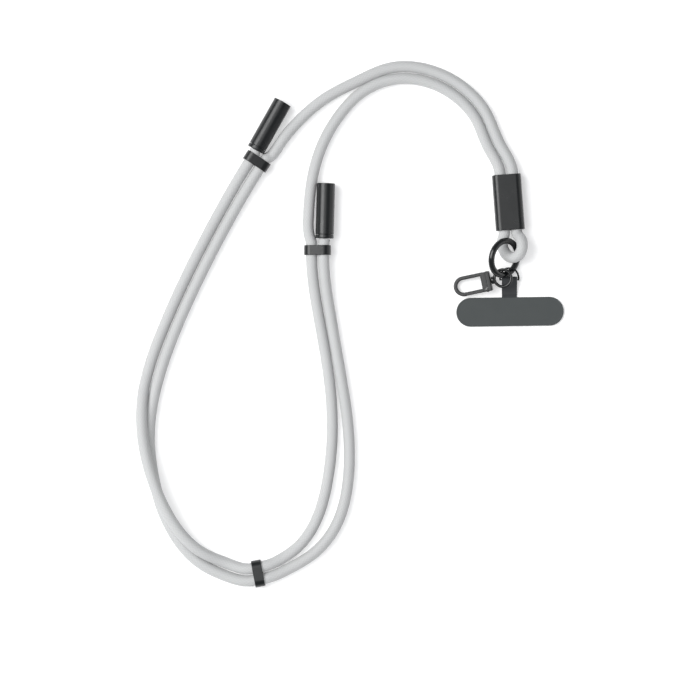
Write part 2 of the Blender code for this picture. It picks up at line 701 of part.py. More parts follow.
def make_pad(parts, tools, material):
    """A thin pill with a shallow pocket underneath for the end of the strap."""
    pad = outline_solid("tether_pad", parts, (stadium(PAD_LENGTH, PAD_WIDTH, 16),), PAD_THICKNESS)
    soften(pad, PAD_EDGE)
    set_frame(pad, None, (*PAD_AT, PAD_THICKNESS / 2), Euler((0, 0, PAD_TURN)))
    half = STRAP_WIDTH / 2 + POCKET_CLEARANCE + 0.1 * MM
    centre = D_BAR_AT[0] + STRAP_ASIDE
    edge = PAD_AT[1] + PAD_WIDTH / 2
    pocket = box("pad_pocket", tools,
                 (centre - half, edge - STRAP_TAIL_IN_PAD - POCKET_CLEARANCE, -1 * MM),
                 (centre + half, edge + 1 * MM, STRAP_TAPE + POCKET_CLEARANCE))
    boolean(pad, pocket, "DIFFERENCE")
    pad.data.materials.append(material)
    smooth_faces(pad)
    return pad


def main():
    clear_scene()
    parts = new_collection("charging_cable_lanyard")
    tools = new_collection("cutters")
    cable = new_material("braided_cable", (0.72, 0.73, 0.74), 0.75)
    black = new_material("black_anodised", (0.035, 0.038, 0.04), 0.38, 0.4)
    metal = new_material("black_metal", (0.03, 0.033, 0.036), 0.3, 0.8)
    plug_metal = new_material("plug_shell", (0.04, 0.042, 0.045), 0.38, 0.4)
    tape = new_material("strap_tape", (0.05, 0.053, 0.056), 0.8)
    sheet = new_material("pad_sheet", (0.09, 0.097, 0.1), 0.55)

    cord = poly_curve("cord", parts, cord_points(), CORD_RADIUS)
    cord.data.materials.append(cable)

    band = dict(length=BAND_LENGTH, pitch=GUIDE_PITCH, wall=BAND_WALL, height=BAND_HEIGHT, corner=None,
                edge=BAND_EDGE, material=black)
    make_band("slider_left", parts, SLIDER_LEFT_AT, SLIDER_LEFT_TURN, lifted=-1, **band)
    make_band("slider_right", parts, SLIDER_RIGHT_AT, SLIDER_RIGHT_TURN, lifted=1, **band)
    make_band("keeper", parts, KEEPER_AT, KEEPER_TURN, **band)
    make_band("housing", parts, HOUSING_AT, HOUSING_TURN, HOUSING_LENGTH, HOUSING_PITCH, HOUSING_WALL,
              HOUSING_HEIGHT, HOUSING_CORNER, HOUSING_EDGE, black)

    make_cap("cap_left", parts, PLUG_LEFT_AT, PLUG_LEFT_TURN, black)
    make_cap("cap_right", parts, PLUG_RIGHT_AT, PLUG_RIGHT_TURN, black)
    make_plug("plug_left", parts, tools, PLUG_LEFT_AT, PLUG_LEFT_TURN, plug_metal)
    make_plug("plug_right", parts, tools, PLUG_RIGHT_AT, PLUG_RIGHT_TURN, plug_metal)

    make_ring(parts, metal)
    frame = clasp_frame()
    parts.objects.link(frame)
    make_eye(parts, tools, frame, metal)
    make_clasp(parts, tools, frame, metal)
    make_gate(parts, frame, metal)
    make_d_ring(parts, metal)
    make_strap(parts, tape)
    make_pad(parts, tools, sheet)


main()
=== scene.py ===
# %% [markdown]
# # A charging cable lanyard
# One long braided cable is worn round the neck. Three bands hold its two strands together, and two
# round caps cover its plugs. Its bight hangs below a flat oval housing and carries a round ring, a
# swivel clasp and a small D ring with a tether strap and pad. This lesson dresses the plain model of
# that part: the solids are loaded first, and each visible piece is then modelled again with finer
# form and a real finish, in the same place.

# %% Load the solids
import math

import bmesh
import bpy
import numpy as np
from mathutils import Euler, Matrix, Vector


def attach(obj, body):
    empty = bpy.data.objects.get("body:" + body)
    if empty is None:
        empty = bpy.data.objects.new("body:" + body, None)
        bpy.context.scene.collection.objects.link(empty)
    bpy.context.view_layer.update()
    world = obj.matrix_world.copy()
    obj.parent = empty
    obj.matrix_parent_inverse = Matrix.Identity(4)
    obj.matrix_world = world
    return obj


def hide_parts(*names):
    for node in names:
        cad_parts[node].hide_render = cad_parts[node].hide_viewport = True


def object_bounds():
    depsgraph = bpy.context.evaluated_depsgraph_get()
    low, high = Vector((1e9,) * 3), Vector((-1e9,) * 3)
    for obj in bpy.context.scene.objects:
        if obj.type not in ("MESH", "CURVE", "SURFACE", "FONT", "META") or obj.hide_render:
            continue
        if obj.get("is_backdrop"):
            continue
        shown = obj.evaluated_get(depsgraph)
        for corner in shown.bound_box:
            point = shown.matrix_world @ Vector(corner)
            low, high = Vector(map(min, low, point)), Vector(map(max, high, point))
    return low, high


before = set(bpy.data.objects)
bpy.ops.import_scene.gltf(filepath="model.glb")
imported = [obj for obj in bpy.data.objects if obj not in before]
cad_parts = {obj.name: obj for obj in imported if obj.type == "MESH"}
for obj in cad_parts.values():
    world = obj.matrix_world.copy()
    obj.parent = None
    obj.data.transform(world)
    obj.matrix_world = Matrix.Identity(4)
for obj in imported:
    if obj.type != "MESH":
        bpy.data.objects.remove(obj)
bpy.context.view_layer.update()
MM = 0.001

# %% [markdown]
# The photograph looks straight down on the laid out lanyard. A long lens far above gives nearly
# parallel lines of sight, so low and high pieces stay in line. The view covers 0.4 m of the floor.

# %% Camera above the floor
VIEW_WIDTH = 0.4
CAMERA_HEIGHT = 1.6
SENSOR = 36.0
camera_data = bpy.data.cameras.new("camera")
camera_data.sensor_width = SENSOR
camera_data.lens = SENSOR * CAMERA_HEIGHT / VIEW_WIDTH
camera = bpy.data.objects.new("camera", camera_data)
camera.location = (-0.0305, -0.0039, CAMERA_HEIGHT)
bpy.context.scene.collection.objects.link(camera)
bpy.context.scene.camera = camera
print("lens:", round(camera_data.lens, 1), "mm")

# %% [markdown]
# The picture has a white floor with faint shadows to the right. A large soft light stands on the
# left and makes the bright band on every cap. A panel overhead shows in the flat black faces, and a
# low card on the right shows in their right edges. A fill from the lower left lifts the cable, with
# no shadow and no reflection of its own. The floor glows a little, so that shadows on it stay pale.
# The standard view keeps the white floor white.

# %% Floor and light
bpy.context.scene.view_settings.view_transform = "Standard"
bpy.context.scene.view_settings.look = "None"

bpy.ops.mesh.primitive_plane_add(size=8.0, location=(0.0, 0.0, 0.0))
floor = bpy.context.active_object
floor.name = "floor"
floor_finish = bpy.data.materials.new("pale_floor")
floor_finish.use_nodes = True
floor_inputs = floor_finish.node_tree.nodes["Principled BSDF"].inputs
floor_inputs["Base Color"].default_value = (0.93, 0.93, 0.93, 1.0)
floor_inputs["Roughness"].default_value = 0.9
floor_inputs["Specular IOR Level"].default_value = 0.1
floor_inputs["Emission Color"].default_value = (1.0, 1.0, 1.0, 1.0)
floor_inputs["Emission Strength"].default_value = 0.13
floor.data.materials.append(floor_finish)
floor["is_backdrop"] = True

world = bpy.data.worlds.new("pale_room")
world.use_nodes = True
room_inputs = world.node_tree.nodes["Background"].inputs
room_inputs["Color"].default_value = (0.94, 0.96, 1.0, 1.0)
room_inputs["Strength"].default_value = 0.22
bpy.context.scene.world = world


LANYARD_MIDDLE = (-0.03, 0.0, 0.0)


def soft_light(name, place, size, power, aim=LANYARD_MIDDLE):
    """A square area light at a place, turned towards a point on the floor."""
    data = bpy.data.lights.new(name, "AREA")
    data.size = size
    data.energy = power
    light = bpy.data.objects.new(name, data)
    light.location = place
    light.rotation_euler = (Vector(aim) - Vector(place)).to_track_quat("-Z", "Y").to_euler()
    bpy.context.scene.collection.objects.link(light)
    return light


soft_light("key", (-1.55, 0.5, 1.95), 1.7, 56.0)
soft_light("overhead", (-0.3, 0.0, 2.4), 1.4, 8.9, aim=(-0.3, 0.0, 0.0))
soft_light("right_card", (2.0, -0.1, 0.6), 1.3, 4.6)
fill = soft_light("fill", (-0.9, -1.3, 2.2), 1.6, 32.0)
fill.data.use_shadow = False
fill.visible_glossy = False
print("lights:", [light.name for light in bpy.data.lights])

# %% [markdown]
# Every piece is made in the same steps, so they get small helpers: start with nothing selected, go
# into edit mode and pick faces or edges by where they are, come back to a solid piece with everything
# applied, and hand the piece over to its body. A finished piece keeps its object at the origin, with
# its place in the mesh.


# %% Helpers for modelling by hand
def start():
    """Back to object mode with nothing selected."""
    if bpy.context.object is not None and bpy.context.object.mode != "OBJECT":
        bpy.ops.object.mode_set(mode="OBJECT")
    bpy.ops.object.select_all(action="DESELECT")


def pick(kind, test):
    """In edit mode, select the vertices, edges or faces that pass the test. Returns how many."""
    bpy.ops.mesh.select_mode(type=kind)
    bpy.ops.mesh.select_all(action="DESELECT")
    work = bmesh.from_edit_mesh(bpy.context.object.data)
    found = 0
    for item in {"VERT": work.verts, "EDGE": work.edges, "FACE": work.faces}[kind]:
        if test(item):
            item.select_set(True)
            found += 1
    work.select_flush_mode()
    bmesh.update_edit_mesh(bpy.context.object.data)
    return found


def middle(item):
    """The middle of an edge or face."""
    return sum((corner.co for corner in item.verts), Vector()) / len(item.verts)


def open_edges(piece):
    """How many edges don't join two faces. A closed piece has none."""
    work = bmesh.new()
    work.from_mesh(piece.data)
    found = sum(1 for e in work.edges if not e.is_manifold)
    work.free()
    return found


def runs_along(edge, axis):
    """True for a straight edge along X, Y or Z."""
    line = edge.verts[1].co - edge.verts[0].co
    return abs(line.normalized()["XYZ".index(axis)]) > 0.999


def edit():
    """Into edit mode, with the active piece."""
    bpy.ops.object.mode_set(mode="EDIT")


def solid(piece):
    """Back to object mode, with the piece's modifiers, place, turn and scale applied."""
    if piece.mode != "OBJECT":
        bpy.ops.object.mode_set(mode="OBJECT")
    bpy.ops.object.select_all(action="DESELECT")
    piece.select_set(True)
    bpy.context.view_layer.objects.active = piece
    for modifier in list(piece.modifiers):
        bpy.ops.object.modifier_apply(modifier=modifier.name)
    bpy.ops.object.transform_apply(location=True, rotation=True, scale=True)
    return piece


def round_edges(piece, width, segments=3, angle=40):
    """A bevel on every edge that is sharper than the angle."""
    edge = piece.modifiers.new("rounded", "BEVEL")
    edge.width = width
    edge.segments = segments
    edge.limit_method = "ANGLE"
    edge.angle_limit = math.radians(angle)
    return solid(piece)


def combine(piece, tool, operation):
    """An exact Boolean with a tool piece, which is then removed."""
    change = piece.modifiers.new(operation.lower(), "BOOLEAN")
    change.operation = operation
    change.object = tool
    change.solver = "EXACT"
    solid(piece)
    bpy.data.objects.remove(tool, do_unlink=True)
    return piece


def duplicate(piece, name):
    """A copy with a mesh of its own."""
    copy = piece.copy()
    copy.data = piece.data.copy()
    copy.name = name
    bpy.context.scene.collection.objects.link(copy)
    return copy


def close_seams():
    """In edit mode, merge the doubles of a spun shape and turn its faces outwards."""
    bpy.ops.mesh.select_all(action="SELECT")
    bpy.ops.mesh.remove_doubles(threshold=1e-6)
    bpy.ops.mesh.normals_make_consistent(inside=False)


def extrude_by(x, y, z):
    """In edit mode, extrude the selection and move it."""
    bpy.ops.mesh.extrude_region_move(TRANSFORM_OT_translate={"value": (x, y, z)})


def hand_over(piece, name, material, body, nodes=(), place=None, sharp=35):
    """Name, place, shade and dress a piece, and let it ride on its body."""
    solid(piece)
    if place is not None:
        piece.data.transform(place)
    piece.name = name
    piece.data.name = name
    bpy.ops.object.shade_smooth_by_angle(angle=math.radians(sharp))
    even = piece.modifiers.new("even shading", "WEIGHTED_NORMAL")
    even.keep_sharp = True
    bpy.ops.object.modifier_apply(modifier=even.name)
    piece.data.materials.clear()
    piece.data.materials.append(material)
    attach(piece, body)
    if nodes:
        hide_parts(*nodes)
    faces = len(piece.data.polygons)
    size = [round(s * 1000, 1) for s in piece.dimensions]
    print(f"{name}: {faces} faces, {size} mm, open edges {open_edges(piece)}")
    return piece


# %% [markdown]
# ## Finishes
# Two effects are used by more than one material, so each is a node group with named sockets. The
# first one gives fine grain, a small noise for colour and bump as on anodised metal and moulded
# sheet, and handling marks, broad soft blotches that make gloss uneven.

# %% Node group for grain and marks
MARKS_SCALE = 160.0


def new_group(name, inputs, outputs):
    """A shader group with number sockets, and its two end nodes."""
    group = bpy.data.node_groups.new(name, "ShaderNodeTree")
    for label, value in inputs:
        socket = group.interface.new_socket(label, in_out="INPUT", socket_type="NodeSocketFloat")
        socket.default_value = value
    for label in outputs:
        group.interface.new_socket(label, in_out="OUTPUT", socket_type="NodeSocketFloat")
    return group, group.nodes.new("NodeGroupInput"), group.nodes.new("NodeGroupOutput")


def link(tree, source, target):
    tree.links.new(source, target)


def math_node(tree, operation, first, second=None, third=None):
    """A Math node with numbers or links as its inputs. Returns its output."""
    node = tree.nodes.new("ShaderNodeMath")
    node.operation = operation
    for socket, value in zip(node.inputs, (first, second, third)):
        if value is None:
            continue
        if isinstance(value, (int, float)):
            socket.default_value = value
        else:
            tree.links.new(value, socket)
    return node.outputs[0]


def noise(tree, vector, scale, detail):
    """A Noise Texture that reads the given place."""
    node = tree.nodes.new("ShaderNodeTexNoise")
    node.inputs["Detail"].default_value = detail
    tree.links.new(vector, node.inputs["Vector"])
    if isinstance(scale, (int, float)):
        node.inputs["Scale"].default_value = scale
    else:
        tree.links.new(scale, node.inputs["Scale"])
    return node.outputs["Fac"]


grain, grain_in, grain_out = new_group(
    "fine_grain", [("Scale", 3000.0), ("Amount", 0.5)], ["Grain", "Marks"])
grain_place = grain.nodes.new("ShaderNodeTexCoord")
grain_raw = noise(grain, grain_place.outputs["Object"], grain_in.outputs["Scale"], 2.0)
grain_signed = math_node(grain, "SUBTRACT", grain_raw, 0.5)
grain_scaled = math_node(grain, "MULTIPLY", grain_signed, grain_in.outputs["Amount"])
link(grain, math_node(grain, "ADD", grain_scaled, 0.5), grain_out.inputs["Grain"])
marks_raw = noise(grain, grain_place.outputs["Object"], MARKS_SCALE, 4.0)
marks_more = math_node(grain, "MULTIPLY_ADD", marks_raw, 1.6, -0.3)
link(grain, marks_more, grain_out.inputs["Marks"])
print("group sockets:", [item.name for item in grain.interface.items_tree])

# %% [markdown]
# A braided sleeve is made of bundles of yarn that run round the cable both ways and pass over and
# under each other. The cable's own map counts length along it and turns round it, so two slanted
# coordinates give the two families of bundles. Their sum decides which family is on top, and a
# rounded profile across each bundle gives its height. The Shade output is painted shade: it darkens
# the colour where that height is low, in the dips between the bundles and where one passes under the
# other.

# %% Node group for woven yarn
weave, weave_in, weave_out = new_group(
    "woven_yarn", [("Along", 1.0), ("Across", 1.0), ("Slant", 1.0)], ["Height", "Shade"])


def rounded_profile(way):
    """A bundle's height across its width: a row of half waves."""
    wave = math_node(weave, "SINE", math_node(weave, "MULTIPLY", way, math.pi))
    return math_node(weave, "ABSOLUTE", wave)


slanted = math_node(weave, "MULTIPLY", weave_in.outputs["Across"], weave_in.outputs["Slant"])
way_one = math_node(weave, "ADD", weave_in.outputs["Along"], slanted)
way_two = math_node(weave, "SUBTRACT", weave_in.outputs["Along"], slanted)
round_one = rounded_profile(way_one)
round_two = rounded_profile(way_two)
cell_one = math_node(weave, "FLOOR", way_one)
cell_two = math_node(weave, "FLOOR", way_two)
over = math_node(weave, "PINGPONG", math_node(weave, "ADD", cell_one, cell_two), 1.0)
top_one = math_node(weave, "MULTIPLY", round_one, math_node(weave, "MULTIPLY_ADD", over, 0.6, 0.4))
under = math_node(weave, "SUBTRACT", 1.0, over)
top_two = math_node(weave, "MULTIPLY", round_two, math_node(weave, "MULTIPLY_ADD", under, 0.6, 0.4))
raised = math_node(weave, "MAXIMUM", top_one, top_two)
link(weave, raised, weave_out.inputs["Height"])
# Painted shade: the colour factor runs from 1 on a bundle's top down to 0.7 in the lowest dips.
link(weave, math_node(weave, "MULTIPLY_ADD", raised, 0.3, 0.7), weave_out.inputs["Shade"])
print("weave nodes:", len(weave.nodes))


# %% [markdown]
# A finish is one Principled shader with the groups feeding it. Colours are linear values. The
# anodised and plated metals differ in gloss, and both get uneven gloss from the marks.

# %% Finishes for metal and sheet
def new_finish(name, colour, roughness, metallic, specular=0.5):
    """A material with its node tree and its Principled shader."""
    made = bpy.data.materials.new(name)
    made.use_nodes = True
    shader = made.node_tree.nodes["Principled BSDF"]
    shader.inputs["Base Color"].default_value = (*colour, 1.0)
    shader.inputs["Roughness"].default_value = roughness
    shader.inputs["Metallic"].default_value = metallic
    shader.inputs["Specular IOR Level"].default_value = specular
    return made, made.node_tree, shader


def add_group(tree, group, **values):
    """Places a shared group in a material, with its own values."""
    node = tree.nodes.new("ShaderNodeGroup")
    node.node_tree = group
    for label, value in values.items():
        node.inputs[label].default_value = value
    return node


def add_bump(tree, shader, height, strength, depth):
    """Bump from a height, with its greatest depth in metres."""
    bump = tree.nodes.new("ShaderNodeBump")
    bump.inputs["Strength"].default_value = strength
    bump.inputs["Distance"].default_value = depth
    link(tree, height, bump.inputs["Height"])
    link(tree, bump.outputs["Normal"], shader.inputs["Normal"])


def two_tones(tree, shader, factor, dark, light):
    """Base colour between two tones."""
    mix = tree.nodes.new("ShaderNodeMix")
    mix.data_type = "RGBA"
    mix.inputs["A"].default_value = (*dark, 1.0)
    mix.inputs["B"].default_value = (*light, 1.0)
    link(tree, factor, mix.inputs["Factor"])
    link(tree, mix.outputs["Result"], shader.inputs["Base Color"])


def grained_finish(name, dark, light, roughness, metallic, grain_size, bump, specular=0.5):
    """Two close tones, small bumps, and gloss that the marks make uneven."""
    spread = 0.12
    made, tree, shader = new_finish(name, light, roughness, metallic, specular)
    group = add_group(tree, grain, Scale=1.0 / grain_size, Amount=1.0)
    two_tones(tree, shader, group.outputs["Grain"], dark, light)
    uneven = math_node(tree, "MULTIPLY_ADD", group.outputs["Marks"], spread, roughness - spread / 2)
    link(tree, uneven, shader.inputs["Roughness"])
    add_bump(tree, shader, group.outputs["Grain"], bump, 0.05 * MM)
    return made


anodised = grained_finish("black_anodised", (0.005, 0.006, 0.0065), (0.009, 0.0105, 0.011),
                          0.3, 0.0, 0.35 * MM, 0.15)
plated = grained_finish("black_plated", (0.004, 0.005, 0.0055), (0.008, 0.009, 0.0095),
                        0.2, 0.0, 0.5 * MM, 0.08, specular=0.6)
cast = grained_finish("black_cast", (0.005, 0.006, 0.0065), (0.010, 0.011, 0.0115),
                      0.32, 0.0, 0.3 * MM, 0.2)
sheet = grained_finish("pad_sheet", (0.040, 0.046, 0.047), (0.052, 0.059, 0.059),
                       0.55, 0.0, 0.25 * MM, 0.25)
tip_metal = grained_finish("plug_tip", (0.45, 0.45, 0.46), (0.62, 0.62, 0.63),
                           0.28, 1.0, 0.4 * MM, 0.1)
print("finishes:", [m.name for m in (anodised, plated, cast, sheet, tip_metal)])

# %% [markdown]
# The cable's sleeve is pale grey yarn with a satin sheen. It reads the map that the tube carries, so
# the braid follows every bend. Two dozen bundles go round it, half of them each way, and they cross
# every 2 mm or so.

# %% Finish for the braided cable
BUNDLES = 24
BRAID_LENGTH = 2.3 * MM


def yarn_on_map(tree):
    """The woven yarn group, laid on the piece's own map."""
    piece_map = tree.nodes.new("ShaderNodeUVMap")
    piece_map.uv_map = "UVMap"
    split = tree.nodes.new("ShaderNodeSeparateXYZ")
    link(tree, piece_map.outputs["UV"], split.inputs["Vector"])
    yarn = add_group(tree, weave, Slant=1.0)
    link(tree, split.outputs["X"], yarn.inputs["Along"])
    link(tree, split.outputs["Y"], yarn.inputs["Across"])
    return yarn


braid, braid_tree, braid_shader = new_finish("braided_sleeve", (0.7, 0.71, 0.72), 0.62, 0.0, 0.4)
braid_yarn = yarn_on_map(braid_tree)
braid_fleck = add_group(braid_tree, grain, Scale=1.0 / (0.6 * MM), Amount=1.0)
# The colour is the weave's painted shade in its dips, times a random fleck of tone in the yarn.
braid_shade_and_fleck = math_node(braid_tree, "MULTIPLY", braid_yarn.outputs["Shade"],
                       math_node(braid_tree, "MULTIPLY_ADD", braid_fleck.outputs["Grain"], 0.2, 0.9))
two_tones(braid_tree, braid_shader, braid_shade_and_fleck, (0.29, 0.296, 0.3), (0.5, 0.506, 0.506))
add_bump(braid_tree, braid_shader, braid_yarn.outputs["Height"], 0.6, 0.16 * MM)
braid_shader.inputs["Sheen Weight"].default_value = 0.15
print("braid:", BUNDLES, "bundles")

# %% [markdown]
# The tether strap is a flat woven tape. The same yarn group reads the tape's own map, at the scale of
# its fine warp and weft.

# %% Finish for the tape
tape, tape_tree, tape_shader = new_finish("woven_tape", (0.05, 0.053, 0.056), 0.78, 0.0, 0.35)
tape_yarn = yarn_on_map(tape_tree)
# The weave's painted shade darkens the tape's colour in the dips between its yarns.
two_tones(tape_tree, tape_shader, tape_yarn.outputs["Shade"],
          (0.012, 0.013, 0.014), (0.048, 0.051, 0.054))
add_bump(tape_tree, tape_shader, tape_yarn.outputs["Height"], 0.5, 0.1 * MM)
print("tape nodes:", len(tape_tree.nodes))

# %% [markdown]
# ## The cable
# The cable is one piece about 1.5 m long. From the left plug it goes down the left side, round the
# bottom, up the right side, over the shoulder and through the housing to its bight, and then the same
# way back to the right plug. Its route is kept as a middle line with a spacing between the strands.
# Where the spacing is less than the cable's thickness, one strand rolls over the other, in one long
# low hump. A free curve would be quicker, but two strands that lie side by side must stay parallel.
# The sizes repeat the solids', except that the braid swells to 6.4 mm between its guides.

# %% Sizes and route of the cable
CORD_DIAMETER = 6.4 * MM
CORD_REST = 3.1 * MM
STRAND_CONTACT = 6.6 * MM
GUIDE_PITCH = 6.9 * MM
GUIDE_INSIDE = 6.8 * MM
BAND_WALL = 0.85 * MM
BAND_LENGTH = 5.6 * MM
BAND_HEIGHT = GUIDE_INSIDE + 2 * BAND_WALL
GUIDE_LEAD = 0.25 * MM
HOUSING_LEAD = 1.0 * MM
PLUG_LEAD = 0.8 * MM
CORD_END_GAP = 0.3 * MM
SLIDER_LEFT = ((-83.6 * MM, 103.6 * MM), math.radians(-33.0))
SLIDER_RIGHT = ((-49.0 * MM, 53.0 * MM), 0.0)
KEEPER = ((-82.8 * MM, -131.2 * MM), math.radians(-79.2))
HOUSING = ((59.7 * MM, 80.2 * MM), math.radians(4.2))
HOUSING_PITCH = 7.1 * MM
HOUSING_WALL = 1.25 * MM
HOUSING_LENGTH = 31.7 * MM
HOUSING_HEIGHT = GUIDE_INSIDE + 2 * HOUSING_WALL
CAP_DIAMETER = 10.4 * MM
SLIDER_LIFT = CAP_DIAMETER / 2 - BAND_HEIGHT / 2
PLUG_ASIDE = 0.55 * MM
PLUG_LEFT_STANDOFF = 2.3 * MM
PLUG_RIGHT_STANDOFF = 3.9 * MM

# Each row: x and y of the middle line, and the distance between the strands, in millimetres.
ROUTE_LEFT = (
    (-101.2, 74.3, 6.8), (-119.0, 40.1, 6.8), (-132.9, 9.5, 6.8), (-142.9, -18.7, 6.8),
    (-145.4, -30.0, 6.2), (-146.7, -42.0, 4.8), (-145.9, -61.1, 2.4), (-142.4, -78.0, 0.3),
    (-137.3, -93.0, -1.8), (-130.2, -106.5, -3.4), (-120.2, -118.4, -5.2), (-112.0, -124.2, -6.3),
    (-102.5, -128.5, -6.9),
)
ROUTE_RIGHT = (
    (-67.6, -125.8, -7.0), (-54.4, -116.6, -9.1), (-44.2, -102.5, -11.5), (-37.2, -76.5, -11.5),
    (-36.0, -50.8, -9.3), (-39.3, -18.1, -6.8), (-45.6, 18.9, -6.7),
)
ROUTE_TOP = (
    (51.8, 112.3, 6.7), (44.1, 129.7, 6.7), (29.9, 144.8, 6.7), (13.0, 152.7, 6.7),
    (-6.7, 153.7, 6.7), (-25.0, 146.2, 6.8),
)
# From here each strand goes its own way: x, y, and for the bight the height too.
ROUTE_TOP_INNER = ((-36.4, 130.2), (-47.0, 111.4), (-52.6, 90.5), (-54.2, 72.0), (-53.6, 61.0))
ROUTE_TOP_OUTER = ((-44.8, 139.5), (-60.4, 126.0), (-71.2, 112.6), (-76.3, 106.3))
ROUTE_BIGHT = (
    (56.7, 59.6, 4.0), (56.4, 56.3, 3.3), (57.8, 51.7, 3.8), (61.4, 48.8, 6.0), (65.4, 50.2, 8.2),
    (67.3, 54.4, 9.2), (66.5, 59.4, 7.8),
)
print("knots on the middle lines:", len(ROUTE_LEFT) + len(ROUTE_RIGHT) + len(ROUTE_TOP))

# %% [markdown]
# Each run of cable between two guides is a cubic spline that leaves one guide straight and enters the
# next one straight. The guides' own stretches are straight lines. Blender's own curves would need
# handles set by hand to do this.


# %% Follow the route
def smooth_run(knots, start_way, end_way):
    """A cubic spline through the knots, by distance along them, with given end directions."""
    knots = np.array(knots, float)
    step = np.linalg.norm(np.diff(knots, axis=0), axis=1)
    along = np.concatenate([[0.0], np.cumsum(step)])
    slope = np.diff(knots, axis=0) / step[:, None]
    last = len(knots) - 1
    matrix = np.zeros((last + 1, last + 1))
    matrix[0, :2] = 2 * step[0], step[0]
    matrix[last, last - 1:] = step[-1], 2 * step[-1]
    right = np.zeros_like(knots)
    right[0] = 6 * (slope[0] - start_way)
    right[last] = 6 * (end_way - slope[-1])
    for i in range(1, last):
        matrix[i, i - 1:i + 2] = step[i - 1], 2 * (step[i - 1] + step[i]), step[i]
        right[i] = 6 * (slope[i] - slope[i - 1])
    bend = np.linalg.solve(matrix, right)

    def at(s):
        i = int(np.clip(np.searchsorted(along, s) - 1, 0, last - 1))
        a = (along[i + 1] - s) / step[i]
        b = (s - along[i]) / step[i]
        curve = ((a ** 3 - a) * bend[i] + (b ** 3 - b) * bend[i + 1]) * step[i] ** 2 / 6
        place = a * knots[i] + b * knots[i + 1] + curve
        place[2] = max(place[2], CORD_REST)
        return place

    return at, along


def beside(at, turn, aside, ahead):
    """A point beside and ahead of a place, for a turn about Z."""
    x, y = at
    return (x + math.cos(turn) * aside - math.sin(turn) * ahead,
            y + math.sin(turn) * aside + math.cos(turn) * ahead)


def guide(place, pitch, half_length, height, side, up, lifted=0):
    """Where a strand goes into a guide and where it comes out, in the order of travel."""
    level = height / 2 + (SLIDER_LIFT if side == lifted else 0.0)
    ends = [(*beside(*place, side * pitch / 2, ahead), level) for ahead in (-half_length, half_length)]
    return ends if up else ends[::-1]


def strand_pair(rows):
    """Both strands beside a middle line. Where they cross, the first one climbs over the second."""
    line = np.array([(x * MM, y * MM) for x, y, _ in rows])
    tangent = np.gradient(line, axis=0)
    tangent /= np.linalg.norm(tangent, axis=1)[:, None]
    left = np.stack([-tangent[:, 1], tangent[:, 0]], axis=1)
    first, second = [], []
    for place, normal, row in zip(line, left, rows):
        apart = row[2] * MM
        climb = math.sqrt(max(0.0, STRAND_CONTACT ** 2 - apart ** 2))
        first.append((*(place - normal * apart / 2), CORD_REST + climb))
        second.append((*(place + normal * apart / 2), CORD_REST))
    return first, second


def plug_at(place, side, standoff):
    """The middle of a plug's base, above its hole in the slider."""
    return beside(*place, side * (GUIDE_PITCH / 2 + PLUG_ASIDE), BAND_LENGTH / 2 + standoff)


def plug_end(place):
    """The cable's straight end: the middle of its face, and a short lead."""
    return [(*beside(*place, 0.0, -back), CAP_DIAMETER / 2) for back in (CORD_END_GAP, PLUG_LEAD)]


PLUG_LEFT = (plug_at(SLIDER_LEFT, -1, PLUG_LEFT_STANDOFF), math.radians(-29.5))
PLUG_RIGHT = (plug_at(SLIDER_RIGHT, 1, PLUG_RIGHT_STANDOFF), math.radians(-1.5))

left_a, left_b = strand_pair(ROUTE_LEFT)
right_a, right_b = strand_pair(ROUTE_RIGHT)
top_b, top_a = strand_pair(ROUTE_TOP)
inner = [(x * MM, y * MM, CORD_REST) for x, y in ROUTE_TOP_INNER]
outer = [(x * MM, y * MM, CORD_REST) for x, y in ROUTE_TOP_OUTER]
bight = [(x * MM, y * MM, z * MM) for x, y, z in ROUTE_BIGHT]
band = (GUIDE_PITCH, BAND_LENGTH / 2 + GUIDE_LEAD, BAND_HEIGHT)
tube = (HOUSING_PITCH, HOUSING_LENGTH / 2 + HOUSING_LEAD, HOUSING_HEIGHT)
stops = (
    ([], plug_end(PLUG_LEFT)),
    ([], guide(SLIDER_LEFT, *band, side=-1, up=False, lifted=-1)),
    (left_a, guide(KEEPER, *band, side=-1, up=True)),
    (right_a, guide(SLIDER_RIGHT, *band, side=-1, up=True, lifted=1)),
    (inner[::-1] + top_a[::-1], guide(HOUSING, *tube, side=-1, up=False)),
    (bight, guide(HOUSING, *tube, side=1, up=True)),
    (top_b + outer, guide(SLIDER_LEFT, *band, side=1, up=False, lifted=-1)),
    (left_b, guide(KEEPER, *band, side=1, up=True)),
    (right_b, guide(SLIDER_RIGHT, *band, side=1, up=True, lifted=1)),
    ([], plug_end(PLUG_RIGHT)[::-1]),
)

POINT_SPACING = 1.2 * MM
route = [np.array(stops[0][1][0])]
for (_, before), (between, after) in zip(stops[:-1], stops[1:]):
    leave = np.subtract(before[1], before[0])
    arrive = np.subtract(after[1], after[0])
    at, along = smooth_run([before[1]] + between + [after[0]], leave / np.linalg.norm(leave),
                           arrive / np.linalg.norm(arrive))
    route.append(at(0.0))
    for low, high in zip(along[:-1], along[1:]):
        steps = max(1, round((high - low) / POINT_SPACING))
        route += [at(low + (high - low) * k / steps) for k in range(1, steps + 1)]
route.append(np.array(stops[-1][1][1]))
cord_length = float(sum(np.linalg.norm(b - a) for a, b in zip(route[:-1], route[1:])))
print("cable:", len(route), "points,", round(cord_length, 3), "m")

# %% [markdown]
# The tube is lofted along the route in a mesh of its own, so that its map can follow the braid: the
# first coordinate counts braid lengths along the cable, and the second counts the bundles of one way
# round it. Each ring of the tube is turned from the last by the least turn, so the braid doesn't
# twist. A ring takes its direction from a short reach of the route and not from one step, so rings
# don't cross each other in the small jog between a band and its plug.

# %% Loft the cable
SIDES = 20


